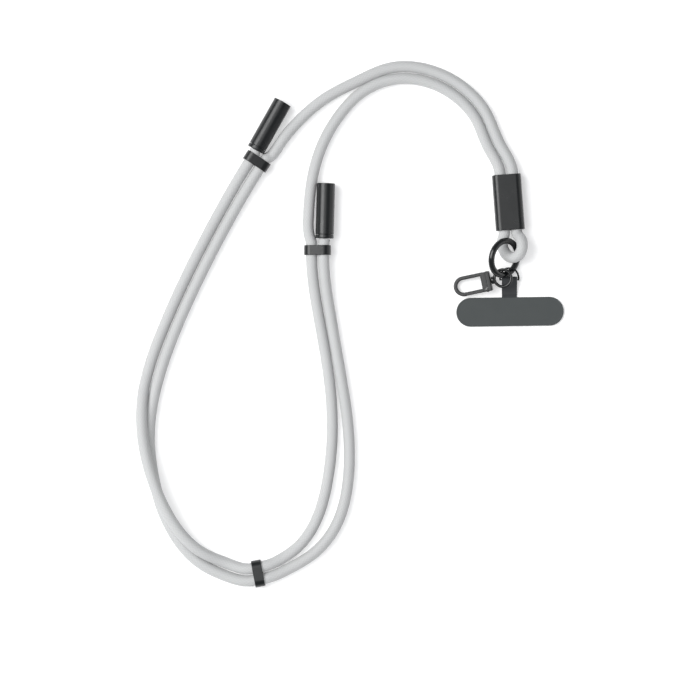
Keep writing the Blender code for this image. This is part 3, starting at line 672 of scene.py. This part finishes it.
def even_ways(path, reach):
    """The tube's direction at each point, taken over a reach on both sides, with straight ends."""
    path = np.array(path)
    ends = [path[0] - path[1], path[-1] - path[-2]]
    ends = [end / np.linalg.norm(end) * reach for end in ends]
    longer = np.vstack([path[0] + ends[0], path, path[-1] + ends[1]])
    along = np.concatenate([[0.0], np.cumsum(np.linalg.norm(np.diff(longer, axis=0), axis=1))])
    chord = [np.interp(along[1:-1] + reach, along, line) - np.interp(along[1:-1] - reach, along, line)
             for line in longer.T]
    return [Vector(way).normalized() for way in np.transpose(chord)]


def loft_tube(name, path, radius, sides):
    """A closed tube along a path, with the braid's map on it."""
    tangents = even_ways(path, radius)
    path = [Vector(p) for p in path]
    normal = tangents[0].orthogonal().normalized()
    work = bmesh.new()
    layer = work.loops.layers.uv.new("UVMap")
    rings = []
    distance = [0.0]
    for i, (place, tangent) in enumerate(zip(path, tangents)):
        if i:
            normal = tangents[i - 1].rotation_difference(tangent) @ normal
            distance.append(distance[-1] + (path[i] - path[i - 1]).length)
        side = tangent.cross(normal).normalized()
        normal = side.cross(tangent).normalized()
        spokes = [normal * math.cos(t) + side * math.sin(t)
                  for t in (2 * math.pi * k / sides for k in range(sides))]
        rings.append([work.verts.new(place + spoke * radius) for spoke in spokes])
    for i, (low, high) in enumerate(zip(rings[:-1], rings[1:])):
        for k in range(sides):
            n = (k + 1) % sides
            face = work.faces.new((low[k], low[n], high[n], high[k]))
            corners = ((i, k), (i, k + 1), (i + 1, k + 1), (i + 1, k))
            for loop, (row, column) in zip(face.loops, corners):
                loop[layer].uv = (distance[row] / BRAID_LENGTH, column / sides * BUNDLES / 2)
    work.faces.new(rings[0][::-1])
    work.faces.new(rings[-1])
    bmesh.ops.recalc_face_normals(work, faces=work.faces)
    mesh = bpy.data.meshes.new(name)
    work.to_mesh(mesh)
    work.free()
    made = bpy.data.objects.new(name, mesh)
    bpy.context.scene.collection.objects.link(made)
    return made


cable = loft_tube("cable", route, CORD_DIAMETER / 2, SIDES)
hand_over(cable, "cable", braid, "lanyard", ["cord"], sharp=60)

# %% [markdown]
# ## Bands and housing
# The bands and the housing are sleeves. Each starts as a block: its long edges are bevelled until the
# ends are round, both end faces are inset by the wall, and a bridge between the two insets opens the
# hole. A Boolean would cut the same hole, but the bridge keeps clean faces for the edge rounding.


# %% Sleeves round two strands
SLEEVE_SEGMENTS = 10


def sleeve(width, height, length, corner, wall, edge):
    """A tube with an oval section along Z."""
    start()
    bpy.ops.mesh.primitive_cube_add(size=1.0)
    piece = bpy.context.object
    piece.scale = (width, height, length)
    solid(piece)
    edit()
    pick("EDGE", lambda e: runs_along(e, "Z"))
    bpy.ops.mesh.bevel(offset=corner, offset_type="OFFSET", segments=SLEEVE_SEGMENTS, affect="EDGES")
    pick("FACE", lambda f: abs(f.normal.z) > 0.99)
    bpy.ops.mesh.inset(thickness=wall, depth=0.0)
    bpy.ops.mesh.bridge_edge_loops()
    solid(piece)
    return round_edges(piece, edge)


def stand(place, height, lift=0.0, pitch=1.0, lifted=0):
    """From the sleeve's own axes to its place: through axis along the strands, section upright."""
    (x, y), turn = place
    lean = Matrix.Rotation(math.asin(lift / pitch) * lifted, 4, "Z")
    upright = Matrix.Rotation(turn, 4, "Z") @ Matrix.Rotation(math.pi / 2, 4, "X")
    return Matrix.Translation((x, y, height / 2 + lift / 2)) @ upright @ lean


band_width = GUIDE_PITCH + GUIDE_INSIDE + 2 * BAND_WALL
band_corner = BAND_HEIGHT / 2 - 0.15 * MM
first_band = sleeve(band_width, BAND_HEIGHT, BAND_LENGTH, band_corner, BAND_WALL, 0.22 * MM)
bands = [("band_left", "slider_left", SLIDER_LEFT, SLIDER_LIFT, -1),
         ("band_right", "slider_right", SLIDER_RIGHT, SLIDER_LIFT, 1),
         ("band_bottom", "keeper", KEEPER, 0.0, 0)]
for name, node, place, lift, lifted in bands:
    copy = duplicate(first_band, name)
    hand_over(copy, name, anodised, "lanyard", [node],
              stand(place, BAND_HEIGHT, lift, GUIDE_PITCH, lifted))
bpy.data.objects.remove(first_band, do_unlink=True)

housing_width = HOUSING_PITCH + GUIDE_INSIDE + 2 * HOUSING_WALL
shell = sleeve(housing_width, HOUSING_HEIGHT, HOUSING_LENGTH, 3.4 * MM, HOUSING_WALL, 0.35 * MM)
hand_over(shell, "housing_shell", anodised, "lanyard", ["housing"],
          stand(HOUSING, HOUSING_HEIGHT))

# %% [markdown]
# ## Plugs and caps
# A cap is a round sleeve with one closed end. It starts as a cylinder: its lower face is inset by the
# wall and pushed in to make the hollow, and the closed end is rounded. The plug inside is a collar, a
# grip and a flat metal tip, built up by inset and extrude from one cylinder.

# %% Model one cap and one plug
CAP_WALL = 1.1 * MM
CAP_LENGTH = 29.0 * MM
COLLAR_LENGTH = 2.0 * MM
CAP_GAP = 0.3 * MM
PLUG_BODY_LENGTH = 17.0 * MM
CAP_SIDES = 64
TIP_SIZE = (6.0 * MM, 2.4 * MM, 8.0 * MM)
TIP_MIDDLE = COLLAR_LENGTH + PLUG_BODY_LENGTH + 3.0 * MM
TIP_CORNER = 1.1 * MM
TIP_WALL = 0.35 * MM
TIP_DEPTH = 4.0 * MM


def along_z(length, radius, sides, low):
    """A closed cylinder that stands on z = low."""
    start()
    bpy.ops.mesh.primitive_cylinder_add(vertices=sides, radius=radius, depth=length,
                                        location=(0, 0, low + length / 2))
    return solid(bpy.context.object)


first_cap = along_z(CAP_LENGTH, CAP_DIAMETER / 2, CAP_SIDES, COLLAR_LENGTH + CAP_GAP)
edit()
pick("FACE", lambda f: f.normal.z < -0.9)
bpy.ops.mesh.inset(thickness=CAP_WALL, depth=0.0)
extrude_by(0, 0, CAP_LENGTH - CAP_WALL)
solid(first_cap)
first_cap = round_edges(first_cap, 0.16 * MM, 2)

first_plug = along_z(COLLAR_LENGTH, CAP_DIAMETER / 2, CAP_SIDES, 0.0)
edit()
pick("FACE", lambda f: f.normal.z > 0.9)
bpy.ops.mesh.inset(thickness=CAP_WALL + CAP_GAP, depth=0.0)
extrude_by(0, 0, PLUG_BODY_LENGTH)
pick("EDGE", lambda e: middle(e).z < 1e-6 and not runs_along(e, "Z"))
bpy.ops.mesh.bevel(offset=0.4 * MM, segments=3, affect="EDGES")
solid(first_plug)
first_plug = round_edges(first_plug, 0.1 * MM, 2, 60)

start()
bpy.ops.mesh.primitive_cube_add(size=1.0)
first_tip = bpy.context.object
first_tip.scale = TIP_SIZE
first_tip.location = (0, 0, TIP_MIDDLE)
solid(first_tip)
edit()
pick("EDGE", lambda e: runs_along(e, "Z"))
bpy.ops.mesh.bevel(offset=TIP_CORNER, segments=6, affect="EDGES")
pick("FACE", lambda f: f.normal.z > 0.9)
bpy.ops.mesh.inset(thickness=TIP_WALL, depth=0.0)
extrude_by(0, 0, -TIP_DEPTH)
solid(first_tip)
print("open edges:", [open_edges(piece) for piece in (first_cap, first_plug, first_tip)])

# %% [markdown]
# Both ends of the cable are alike, so each gets copies of the three pieces. They stand along Z, and
# one matrix lays them down at the plug's place. The left cap comes off, so it rides on a body of its
# own. Last, the place where the cable starts, just short of the left plug, is worked out.


# %% Place both caps and plugs
def lying(place):
    """From a turned piece's own axis to its place on the floor."""
    (x, y), turn = place
    laid = Euler((-math.pi / 2, 0.0, turn)).to_matrix().to_4x4()
    return Matrix.Translation((x, y, CAP_DIAMETER / 2)) @ laid


for side, place, cap_body in (("left", PLUG_LEFT, "left_cap"), ("right", PLUG_RIGHT, "lanyard")):
    hand_over(duplicate(first_cap, "cap"), f"cap_shell_{side}", anodised, cap_body,
              [f"cap_{side}"], lying(place))
    hand_over(duplicate(first_plug, "plug"), f"plug_grip_{side}", anodised, "lanyard",
              [f"plug_{side}"], lying(place))
    hand_over(duplicate(first_tip, "tip"), f"plug_tip_{side}", tip_metal, "lanyard",
              place=lying(place))
for spare in (first_cap, first_plug, first_tip):
    bpy.data.objects.remove(spare, do_unlink=True)

cable_start = (*beside(*PLUG_LEFT, 0.0, -CORD_END_GAP), CAP_DIAMETER / 2)

# %% [markdown]
# ## Rings
# The round ring and the clasp's eye are wire bent to a circle. A round section is spun about the
# ring's axis. The torus primitive would give the same form in one step. The spin is shown here
# because it works with any section and any part of a turn, as the clasp's frame needs below.

# %% Spin the ring and the eye
RING_AT = (57.3 * MM, 48.45 * MM)
RING_RADIUS = 9.9 * MM
RING_WIRE = 3.5 * MM
RING_TILT = math.radians(41.2)
RING_UPHILL = math.radians(163.0)


def spun_ring(radius, wire, sides, steps):
    """A ring about Z, from a round section."""
    start()
    bpy.ops.mesh.primitive_circle_add(vertices=sides, radius=wire / 2, location=(radius, 0, 0),
                                      rotation=(math.pi / 2, 0, 0))
    piece = solid(bpy.context.object)
    edit()
    bpy.ops.mesh.select_all(action="SELECT")
    bpy.ops.mesh.spin(steps=steps, angle=2 * math.pi, center=(0, 0, 0), axis=(0, 0, 1))
    close_seams()
    return solid(piece)


ring_tilt = Matrix.Rotation(RING_UPHILL, 4, "Z") @ Matrix.Rotation(-RING_TILT, 4, "Y")
ring_height = RING_WIRE / 2 + RING_RADIUS * math.sin(RING_TILT)
ring = spun_ring(RING_RADIUS, RING_WIRE, 24, 96)
hand_over(ring, "link_ring", plated, "lanyard", ["ring"],
          Matrix.Translation((*RING_AT, ring_height)) @ ring_tilt, sharp=60)

# %% [markdown]
# The clasp has a frame of its own: X runs from the eye to its tail, Z up out of its face. The eye
# carries a neck and a headed pin that the clasp turns on. Neck, pin and head are cylinders joined to
# the eye, so that the union has no inner walls.

# %% Eye with its neck and pin
EYE_AT = (56.4 * MM, 37.0 * MM, 6.6 * MM)
EYE_RADIUS = 4.8 * MM
EYE_WIRE = 1.7 * MM
CLASP_TURN = math.radians(191.7)
CLASP_DROP = math.radians(10.4)
CLASP_FRAME = (Matrix.Translation(EYE_AT) @ Matrix.Rotation(CLASP_TURN, 4, "Z")
               @ Matrix.Rotation(CLASP_DROP, 4, "Y"))
NECK_RADIUS = 2.2 * MM
NECK_ROUNDING = 0.45 * MM
NECK_END = 6.55 * MM
PIN_RADIUS = 1.2 * MM
PIN_HEAD_RADIUS = 1.7 * MM
PIN_HEAD_LENGTH = 0.8 * MM
BLOCK_START = 6.85 * MM
CAVITY_START = BLOCK_START + 1.2 * MM
HEAD_START = CAVITY_START + 0.3 * MM


def along_x(start_x, end_x, radius, sides):
    """A closed cylinder between two places on local X."""
    start()
    bpy.ops.mesh.primitive_cylinder_add(vertices=sides, radius=radius, depth=end_x - start_x,
                                        location=((start_x + end_x) / 2, 0, 0),
                                        rotation=(0, math.pi / 2, 0))
    return solid(bpy.context.object)


eye = spun_ring(EYE_RADIUS, EYE_WIRE, 18, 64)
neck = along_x(EYE_RADIUS + 0.05 * MM, NECK_END, NECK_RADIUS, 40)
pin = along_x(EYE_RADIUS, HEAD_START + 0.3 * MM, PIN_RADIUS, 24)
pin_head = along_x(HEAD_START, HEAD_START + PIN_HEAD_LENGTH, PIN_HEAD_RADIUS, 32)
eye = combine(eye, round_edges(neck, NECK_ROUNDING, 4), "UNION")
eye = combine(eye, pin, "UNION")
eye = combine(eye, pin_head, "UNION")
hand_over(eye, "eye_and_pin", plated, "lanyard", ["swivel_eye"], CLASP_FRAME, sharp=40)

# %% [markdown]
# ## Clasp
# The U frame is a rounded bar: its section is spun half a turn for the tail, and both ends are then
# extruded straight to make the two arms. The arm on the gate's side stops short, where the gate's
# tip rests.

# %% U frame of the clasp
CLASP_WIDTH = 11.4 * MM
FRAME_WIRE = 2.1 * MM
FRAME_THICKNESS = 2.6 * MM
FRAME_CORNER = 0.5 * MM
BLOCK_END = BLOCK_START + 5.5 * MM
TAIL_END = BLOCK_START + 21.7 * MM
ARM_SIDE = CLASP_WIDTH / 2 - FRAME_WIRE / 2
TAIL_CENTRE = TAIL_END - CLASP_WIDTH / 2
RIVET_AT = (BLOCK_END - 2.9 * MM, ARM_SIDE)
GATE_LENGTH = 11.8 * MM
GATE_TIP = RIVET_AT[0] + GATE_LENGTH
GATE_GAP = 0.3 * MM
ARM_IN_BLOCK = 1.5 * MM

start()
bpy.ops.mesh.primitive_plane_add(size=1.0, location=(TAIL_CENTRE, -ARM_SIDE, 0),
                                 rotation=(0, math.pi / 2, 0))
bow = bpy.context.object
bow.scale = (FRAME_THICKNESS, FRAME_WIRE, 1)
solid(bow)
edit()
bpy.ops.mesh.select_all(action="SELECT")
bpy.ops.mesh.bevel(offset=FRAME_CORNER, segments=4, affect="VERTICES")
bpy.ops.mesh.select_all(action="SELECT")
bpy.ops.mesh.spin(steps=32, angle=-math.pi, center=(TAIL_CENTRE, 0, 0), axis=(0, 0, 1))
close_seams()
solid(bow)
print("bow:", len(bow.data.vertices), "vertices", [round(s * 1000, 1) for s in bow.dimensions])

edit()
pick("VERT", lambda v: abs(v.co.x - TAIL_CENTRE) < 1e-6 and v.co.y < 0)
extrude_by(BLOCK_END - ARM_IN_BLOCK - TAIL_CENTRE, 0, 0)
pick("VERT", lambda v: abs(v.co.x - TAIL_CENTRE) < 1e-6 and v.co.y > 0)
extrude_by(GATE_TIP + GATE_GAP - TAIL_CENTRE, 0, 0)
for side in (-1, 1):
    pick("EDGE", lambda e: e.is_boundary and middle(e).y * side > 0)
    bpy.ops.mesh.edge_face_add()
bpy.ops.mesh.select_all(action="SELECT")
bpy.ops.mesh.normals_make_consistent(inside=False)
solid(bow)
print("bow with arms:", [round(s * 1000, 1) for s in bow.dimensions], "open edges:", open_edges(bow))

# %% [markdown]
# The block holds the swivel at one end and the gate's rivet at the other. Its part next to the eye is
# a little thicker than the panel behind it. It is bored for the pin, with a wider chamber for the
# pin's head, and a slot lets the gate swing inwards.

# %% Block of the clasp
SEAM = BLOCK_END - 2.9 * MM
HALF = CLASP_WIDTH / 2
BLOCK_HALF_THICKNESS = 2.3 * MM
PANEL_HALF_THICKNESS = 2.0 * MM
PANEL_INSET = 0.15 * MM
SLOT_HALF_THICKNESS = 1.4 * MM
SLOT_REACH = 1.9 * MM
PIN_BORE_RADIUS = 1.5 * MM
HEAD_BORE_RADIUS = 1.94 * MM
HEAD_BORE_LENGTH = 1.32 * MM


def block(low, high, edge, segments=3):
    """A block between two corners, with rounded edges if an edge is given."""
    start()
    bpy.ops.mesh.primitive_cube_add(size=1.0)
    piece = bpy.context.object
    piece.scale = [b - a for a, b in zip(low, high)]
    piece.location = [(a + b) / 2 for a, b in zip(low, high)]
    solid(piece)
    return round_edges(piece, edge, segments) if edge else piece


clasp = block((BLOCK_START, -HALF, -BLOCK_HALF_THICKNESS),
              (SEAM, HALF, BLOCK_HALF_THICKNESS), 0.55 * MM, 4)
panel = block((SEAM - 1 * MM, PANEL_INSET - HALF, -PANEL_HALF_THICKNESS),
              (BLOCK_END, HALF - PANEL_INSET, PANEL_HALF_THICKNESS), 0.35 * MM)
clasp = combine(clasp, panel, "UNION")
clasp = combine(clasp, bow, "UNION")

slot = block((RIVET_AT[0] - 1.5 * MM, ARM_SIDE - FRAME_WIRE / 2 - GATE_GAP, -SLOT_HALF_THICKNESS),
             (BLOCK_END + 0.2 * MM, HALF + 1 * MM, SLOT_HALF_THICKNESS), 0.0)
edit()
pick("EDGE", lambda e: runs_along(e, "Z") and middle(e).y < ARM_SIDE and middle(e).x > BLOCK_END)
bpy.ops.transform.translate(value=(0, -SLOT_REACH, 0))
clasp = combine(clasp, solid(slot), "DIFFERENCE")
pin_bore = along_x(BLOCK_START - 1 * MM, CAVITY_START + 0.2 * MM, PIN_BORE_RADIUS, 32)
clasp = combine(clasp, pin_bore, "DIFFERENCE")
head_bore = along_x(CAVITY_START, CAVITY_START + HEAD_BORE_LENGTH, HEAD_BORE_RADIUS, 32)
clasp = combine(clasp, head_bore, "DIFFERENCE")
hand_over(clasp, "clasp_casting", cast, "clasp", ["clasp_body"], CLASP_FRAME)

# %% [markdown]
# The gate is a straight lever. Its root end is round about the rivet, and its tip is cut square. The
# rivet goes through block and gate and shows a low domed head on each face. Both are modelled about
# the rivet's axis, so that one matrix puts them in the clasp.

# %% Gate and rivet
GATE_THICKNESS = 2.2 * MM
GATE_HOLE_RADIUS = 0.95 * MM
RIVET_RADIUS = 0.65 * MM
RIVET_LENGTH = 4.5 * MM
RIVET_HEAD_HEIGHT = 0.22 * MM
RIVET_FRAME = CLASP_FRAME @ Matrix.Translation((*RIVET_AT, 0))


def about_rivet(radius, length, sides):
    """A closed cylinder about the rivet's axis."""
    return along_z(length, radius, sides, -length / 2)


lever = block((0.0, -FRAME_WIRE / 2, -GATE_THICKNESS / 2),
              (GATE_LENGTH, FRAME_WIRE / 2, GATE_THICKNESS / 2), 0.0)
lever = combine(lever, about_rivet(FRAME_WIRE / 2, GATE_THICKNESS, 40), "UNION")
lever = combine(lever, about_rivet(GATE_HOLE_RADIUS, 6 * MM, 32), "DIFFERENCE")
lever = round_edges(lever, 0.25 * MM, 3, 50)
hand_over(lever, "gate_lever", cast, "gate", ["clasp_gate"], RIVET_FRAME)

rivet = about_rivet(RIVET_RADIUS, RIVET_LENGTH, 32)
edit()
for side in (1, -1):
    pick("FACE", lambda f: f.normal.z * side > 0.9)
    extrude_by(0, 0, 0.01 * MM * side)
    bpy.ops.transform.resize(value=(1.45, 1.45, 1.0))
    extrude_by(0, 0, RIVET_HEAD_HEIGHT * side)
    bpy.ops.transform.resize(value=(0.7, 0.7, 1.0))
solid(rivet)
hand_over(rivet, "gate_pin", plated, "clasp", place=RIVET_FRAME, sharp=50)

# %% [markdown]
# ## D ring and tether
# The D ring is thin wire with a straight bar and a high bow with square shoulders. A curve with a
# round section follows that outline, and it is made a mesh at once.

# %% D ring
D_BAR_AT = (60.45 * MM, 36.2 * MM, 1.9 * MM)
D_HALF_WIDTH = 5.3 * MM
D_HEIGHT = 7.4 * MM
D_SQUARENESS = 2.3
D_POWER = 2 / D_SQUARENESS
D_WIRE = 1.1 * MM
D_TILT = math.radians(29.0)
D_BAR_TILT = math.radians(-3.0)
D_POINTS = 49
outline = bpy.data.curves.new("d_outline", "CURVE")
outline.dimensions = "3D"
outline.bevel_depth = D_WIRE / 2
outline.bevel_resolution = 4
line = outline.splines.new("POLY")
line.points.add(D_POINTS - 1)
for k, point in enumerate(line.points):
    across = math.cos(math.pi * k / (D_POINTS - 1))
    up = math.sin(math.pi * k / (D_POINTS - 1))
    point.co = (math.copysign(D_HALF_WIDTH * abs(across) ** D_POWER, across),
                D_HEIGHT * up ** D_POWER, 0, 1)
line.use_cyclic_u = True
d_wire = bpy.data.objects.new("d_wire", outline)
bpy.context.scene.collection.objects.link(d_wire)
start()
d_wire.select_set(True)
bpy.context.view_layer.objects.active = d_wire
bpy.ops.object.convert(target="MESH")
d_wire = bpy.context.object
d_turn = Matrix.Rotation(D_BAR_TILT, 4, "Y") @ Matrix.Rotation(D_TILT, 4, "X")
hand_over(d_wire, "d_wire", plated, "lanyard", ["d_ring"],
          Matrix.Translation(D_BAR_AT) @ d_turn, sharp=60)

# %% [markdown]
# The strap is one tape. It starts under the pad, runs to the D ring, goes round its bar and comes back
# on top of itself, where it is sewn down. One edge across the tape is extruded step by step along
# that path, which gives the tape's middle surface. The path holds distances from the bar's middle and
# heights, in millimetres.

# %% Fold the tape
STRAP_WIDTH = 8.6 * MM
STRAP_ASIDE = 0.1 * MM
STRAP_MIDDLE = D_BAR_AT[0] + STRAP_ASIDE
FOLD = 1.5 * MM
BAR_Z = D_BAR_AT[2]
YARN = 0.42 * MM
tape_path = [(-15.8, 0.36), (-12.0, 0.36), (-8.0, 0.36), (-4.5, 0.36), (-2.0, 0.38)]
tape_path += [(FOLD / MM * math.cos(a), BAR_Z / MM + FOLD / MM * math.sin(a))
              for a in [math.radians(d) for d in range(-85, 116, 20)]]
tape_path += [(-2.4, 2.6), (-4.0, 1.85), (-5.6, 1.3), (-7.0, 1.1), (-8.6, 1.06)]

start()
bpy.ops.mesh.primitive_plane_add(size=1.0)
strap = bpy.context.object
edit()
pick("VERT", lambda v: v.co.y > 0)
bpy.ops.mesh.delete(type="VERT")
solid(strap)
for vertex in strap.data.vertices:
    first_y, first_z = tape_path[0]
    vertex.co = (math.copysign(STRAP_WIDTH / 2, vertex.co.x), first_y * MM, first_z * MM)
edit()
bpy.ops.mesh.select_mode(type="EDGE")
bpy.ops.mesh.select_all(action="SELECT")
for (y0, z0), (y1, z1) in zip(tape_path[:-1], tape_path[1:]):
    extrude_by(0, (y1 - y0) * MM, (z1 - z0) * MM)
solid(strap)
print("tape:", len(strap.data.polygons), "steps")

# %% [markdown]
# The weave has to follow the fold, so the tape's map is written from the same path, and it counts
# yarns along and across. It comes before Solidify, which carries it to both faces and the sides.

# %% Give the tape its map and thickness
TAPE = 0.66 * MM
steps = [math.dist(a, b) * MM for a, b in zip(tape_path[:-1], tape_path[1:])]
reach = {0: 0.0}
for i, step in enumerate(steps):
    reach[i + 1] = reach[i] + step


def tape_distance(place):
    """How far along the tape a point of its middle surface lies."""
    gaps = [math.dist((y * MM, z * MM), (place.y, place.z)) for y, z in tape_path]
    return reach[gaps.index(min(gaps))]


strap_map = strap.data.uv_layers.new(name="UVMap")
for loop in strap.data.loops:
    place = strap.data.vertices[loop.vertex_index].co
    strap_map.data[loop.index].uv = (tape_distance(place) / YARN, place.x / YARN)
thickness = strap.modifiers.new("thickness", "SOLIDIFY")
thickness.thickness = TAPE
thickness.offset = 0.0
thickness.use_even_offset = True
solid(strap)
strap = round_edges(strap, 0.12 * MM, 2, 60)
hand_over(strap, "tether_tape", tape, "lanyard", ["tether_strap"],
          Matrix.Translation((STRAP_MIDDLE, D_BAR_AT[1], 0)), sharp=50)

# %% [markdown]
# The pad is a thin pill. A block's upright edges are bevelled until its ends are round. A bevel of
# exactly half the width leaves doubles where its arcs meet, so those are merged. A narrow inset makes
# the line that runs inside its rim, and the underside gets a shallow pocket for the tape.

# %% Tether pad
PAD_AT = (60.85 * MM, 17.94 * MM)
PAD_TURN = math.radians(0.8)
PAD_SIZE = (61.3 * MM, 16.5 * MM, 1.6 * MM)
RIM_WIDTH = 0.7 * MM
RIM_LINE = (0.22 * MM, -0.1 * MM)
POCKET_HALF_WIDTH = 4.7 * MM
POCKET_REACH = 6.3 * MM
POCKET_TOP = 1.0 * MM
start()
bpy.ops.mesh.primitive_cube_add(size=1.0)
pad = bpy.context.object
pad.scale = PAD_SIZE
pad.location = (0, 0, PAD_SIZE[2] / 2)
solid(pad)
edit()
pick("EDGE", lambda e: runs_along(e, "Z"))
bpy.ops.mesh.bevel(offset=PAD_SIZE[1] / 2, segments=24, affect="EDGES")
bpy.ops.mesh.select_all(action="SELECT")
bpy.ops.mesh.remove_doubles(threshold=0.001 * MM)
solid(pad)
pad = round_edges(pad, 0.28 * MM, 3, 50)
edit()
pick("FACE", lambda f: f.normal.z > 0.99 and len(f.verts) > 20)
bpy.ops.mesh.inset(thickness=RIM_WIDTH, depth=0.0)
bpy.ops.mesh.inset(thickness=RIM_LINE[0], depth=RIM_LINE[1])
solid(pad)
pad.data.transform(Matrix.Translation((*PAD_AT, 0)) @ Matrix.Rotation(PAD_TURN, 4, "Z"))
pad_edge = PAD_AT[1] + PAD_SIZE[1] / 2
pocket = block((STRAP_MIDDLE - POCKET_HALF_WIDTH, pad_edge - POCKET_REACH, -1 * MM),
               (STRAP_MIDDLE + POCKET_HALF_WIDTH, pad_edge + 1 * MM, POCKET_TOP), 0.0)
pad = combine(pad, pocket, "DIFFERENCE")
hand_over(pad, "tether_pill", sheet, "lanyard", ["tether_pad"])

# %% [markdown]
# ## Size of the finished look
# The box round all shown pieces, floor left out, is measured and printed in millimetres. The
# finished look may not be larger than the solids by more than a little.

# %% Measure the finished size
dressed_box = [list(corner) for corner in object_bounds()]
print("box in mm:", [[round(v * 1000, 1) for v in corner] for corner in dressed_box])
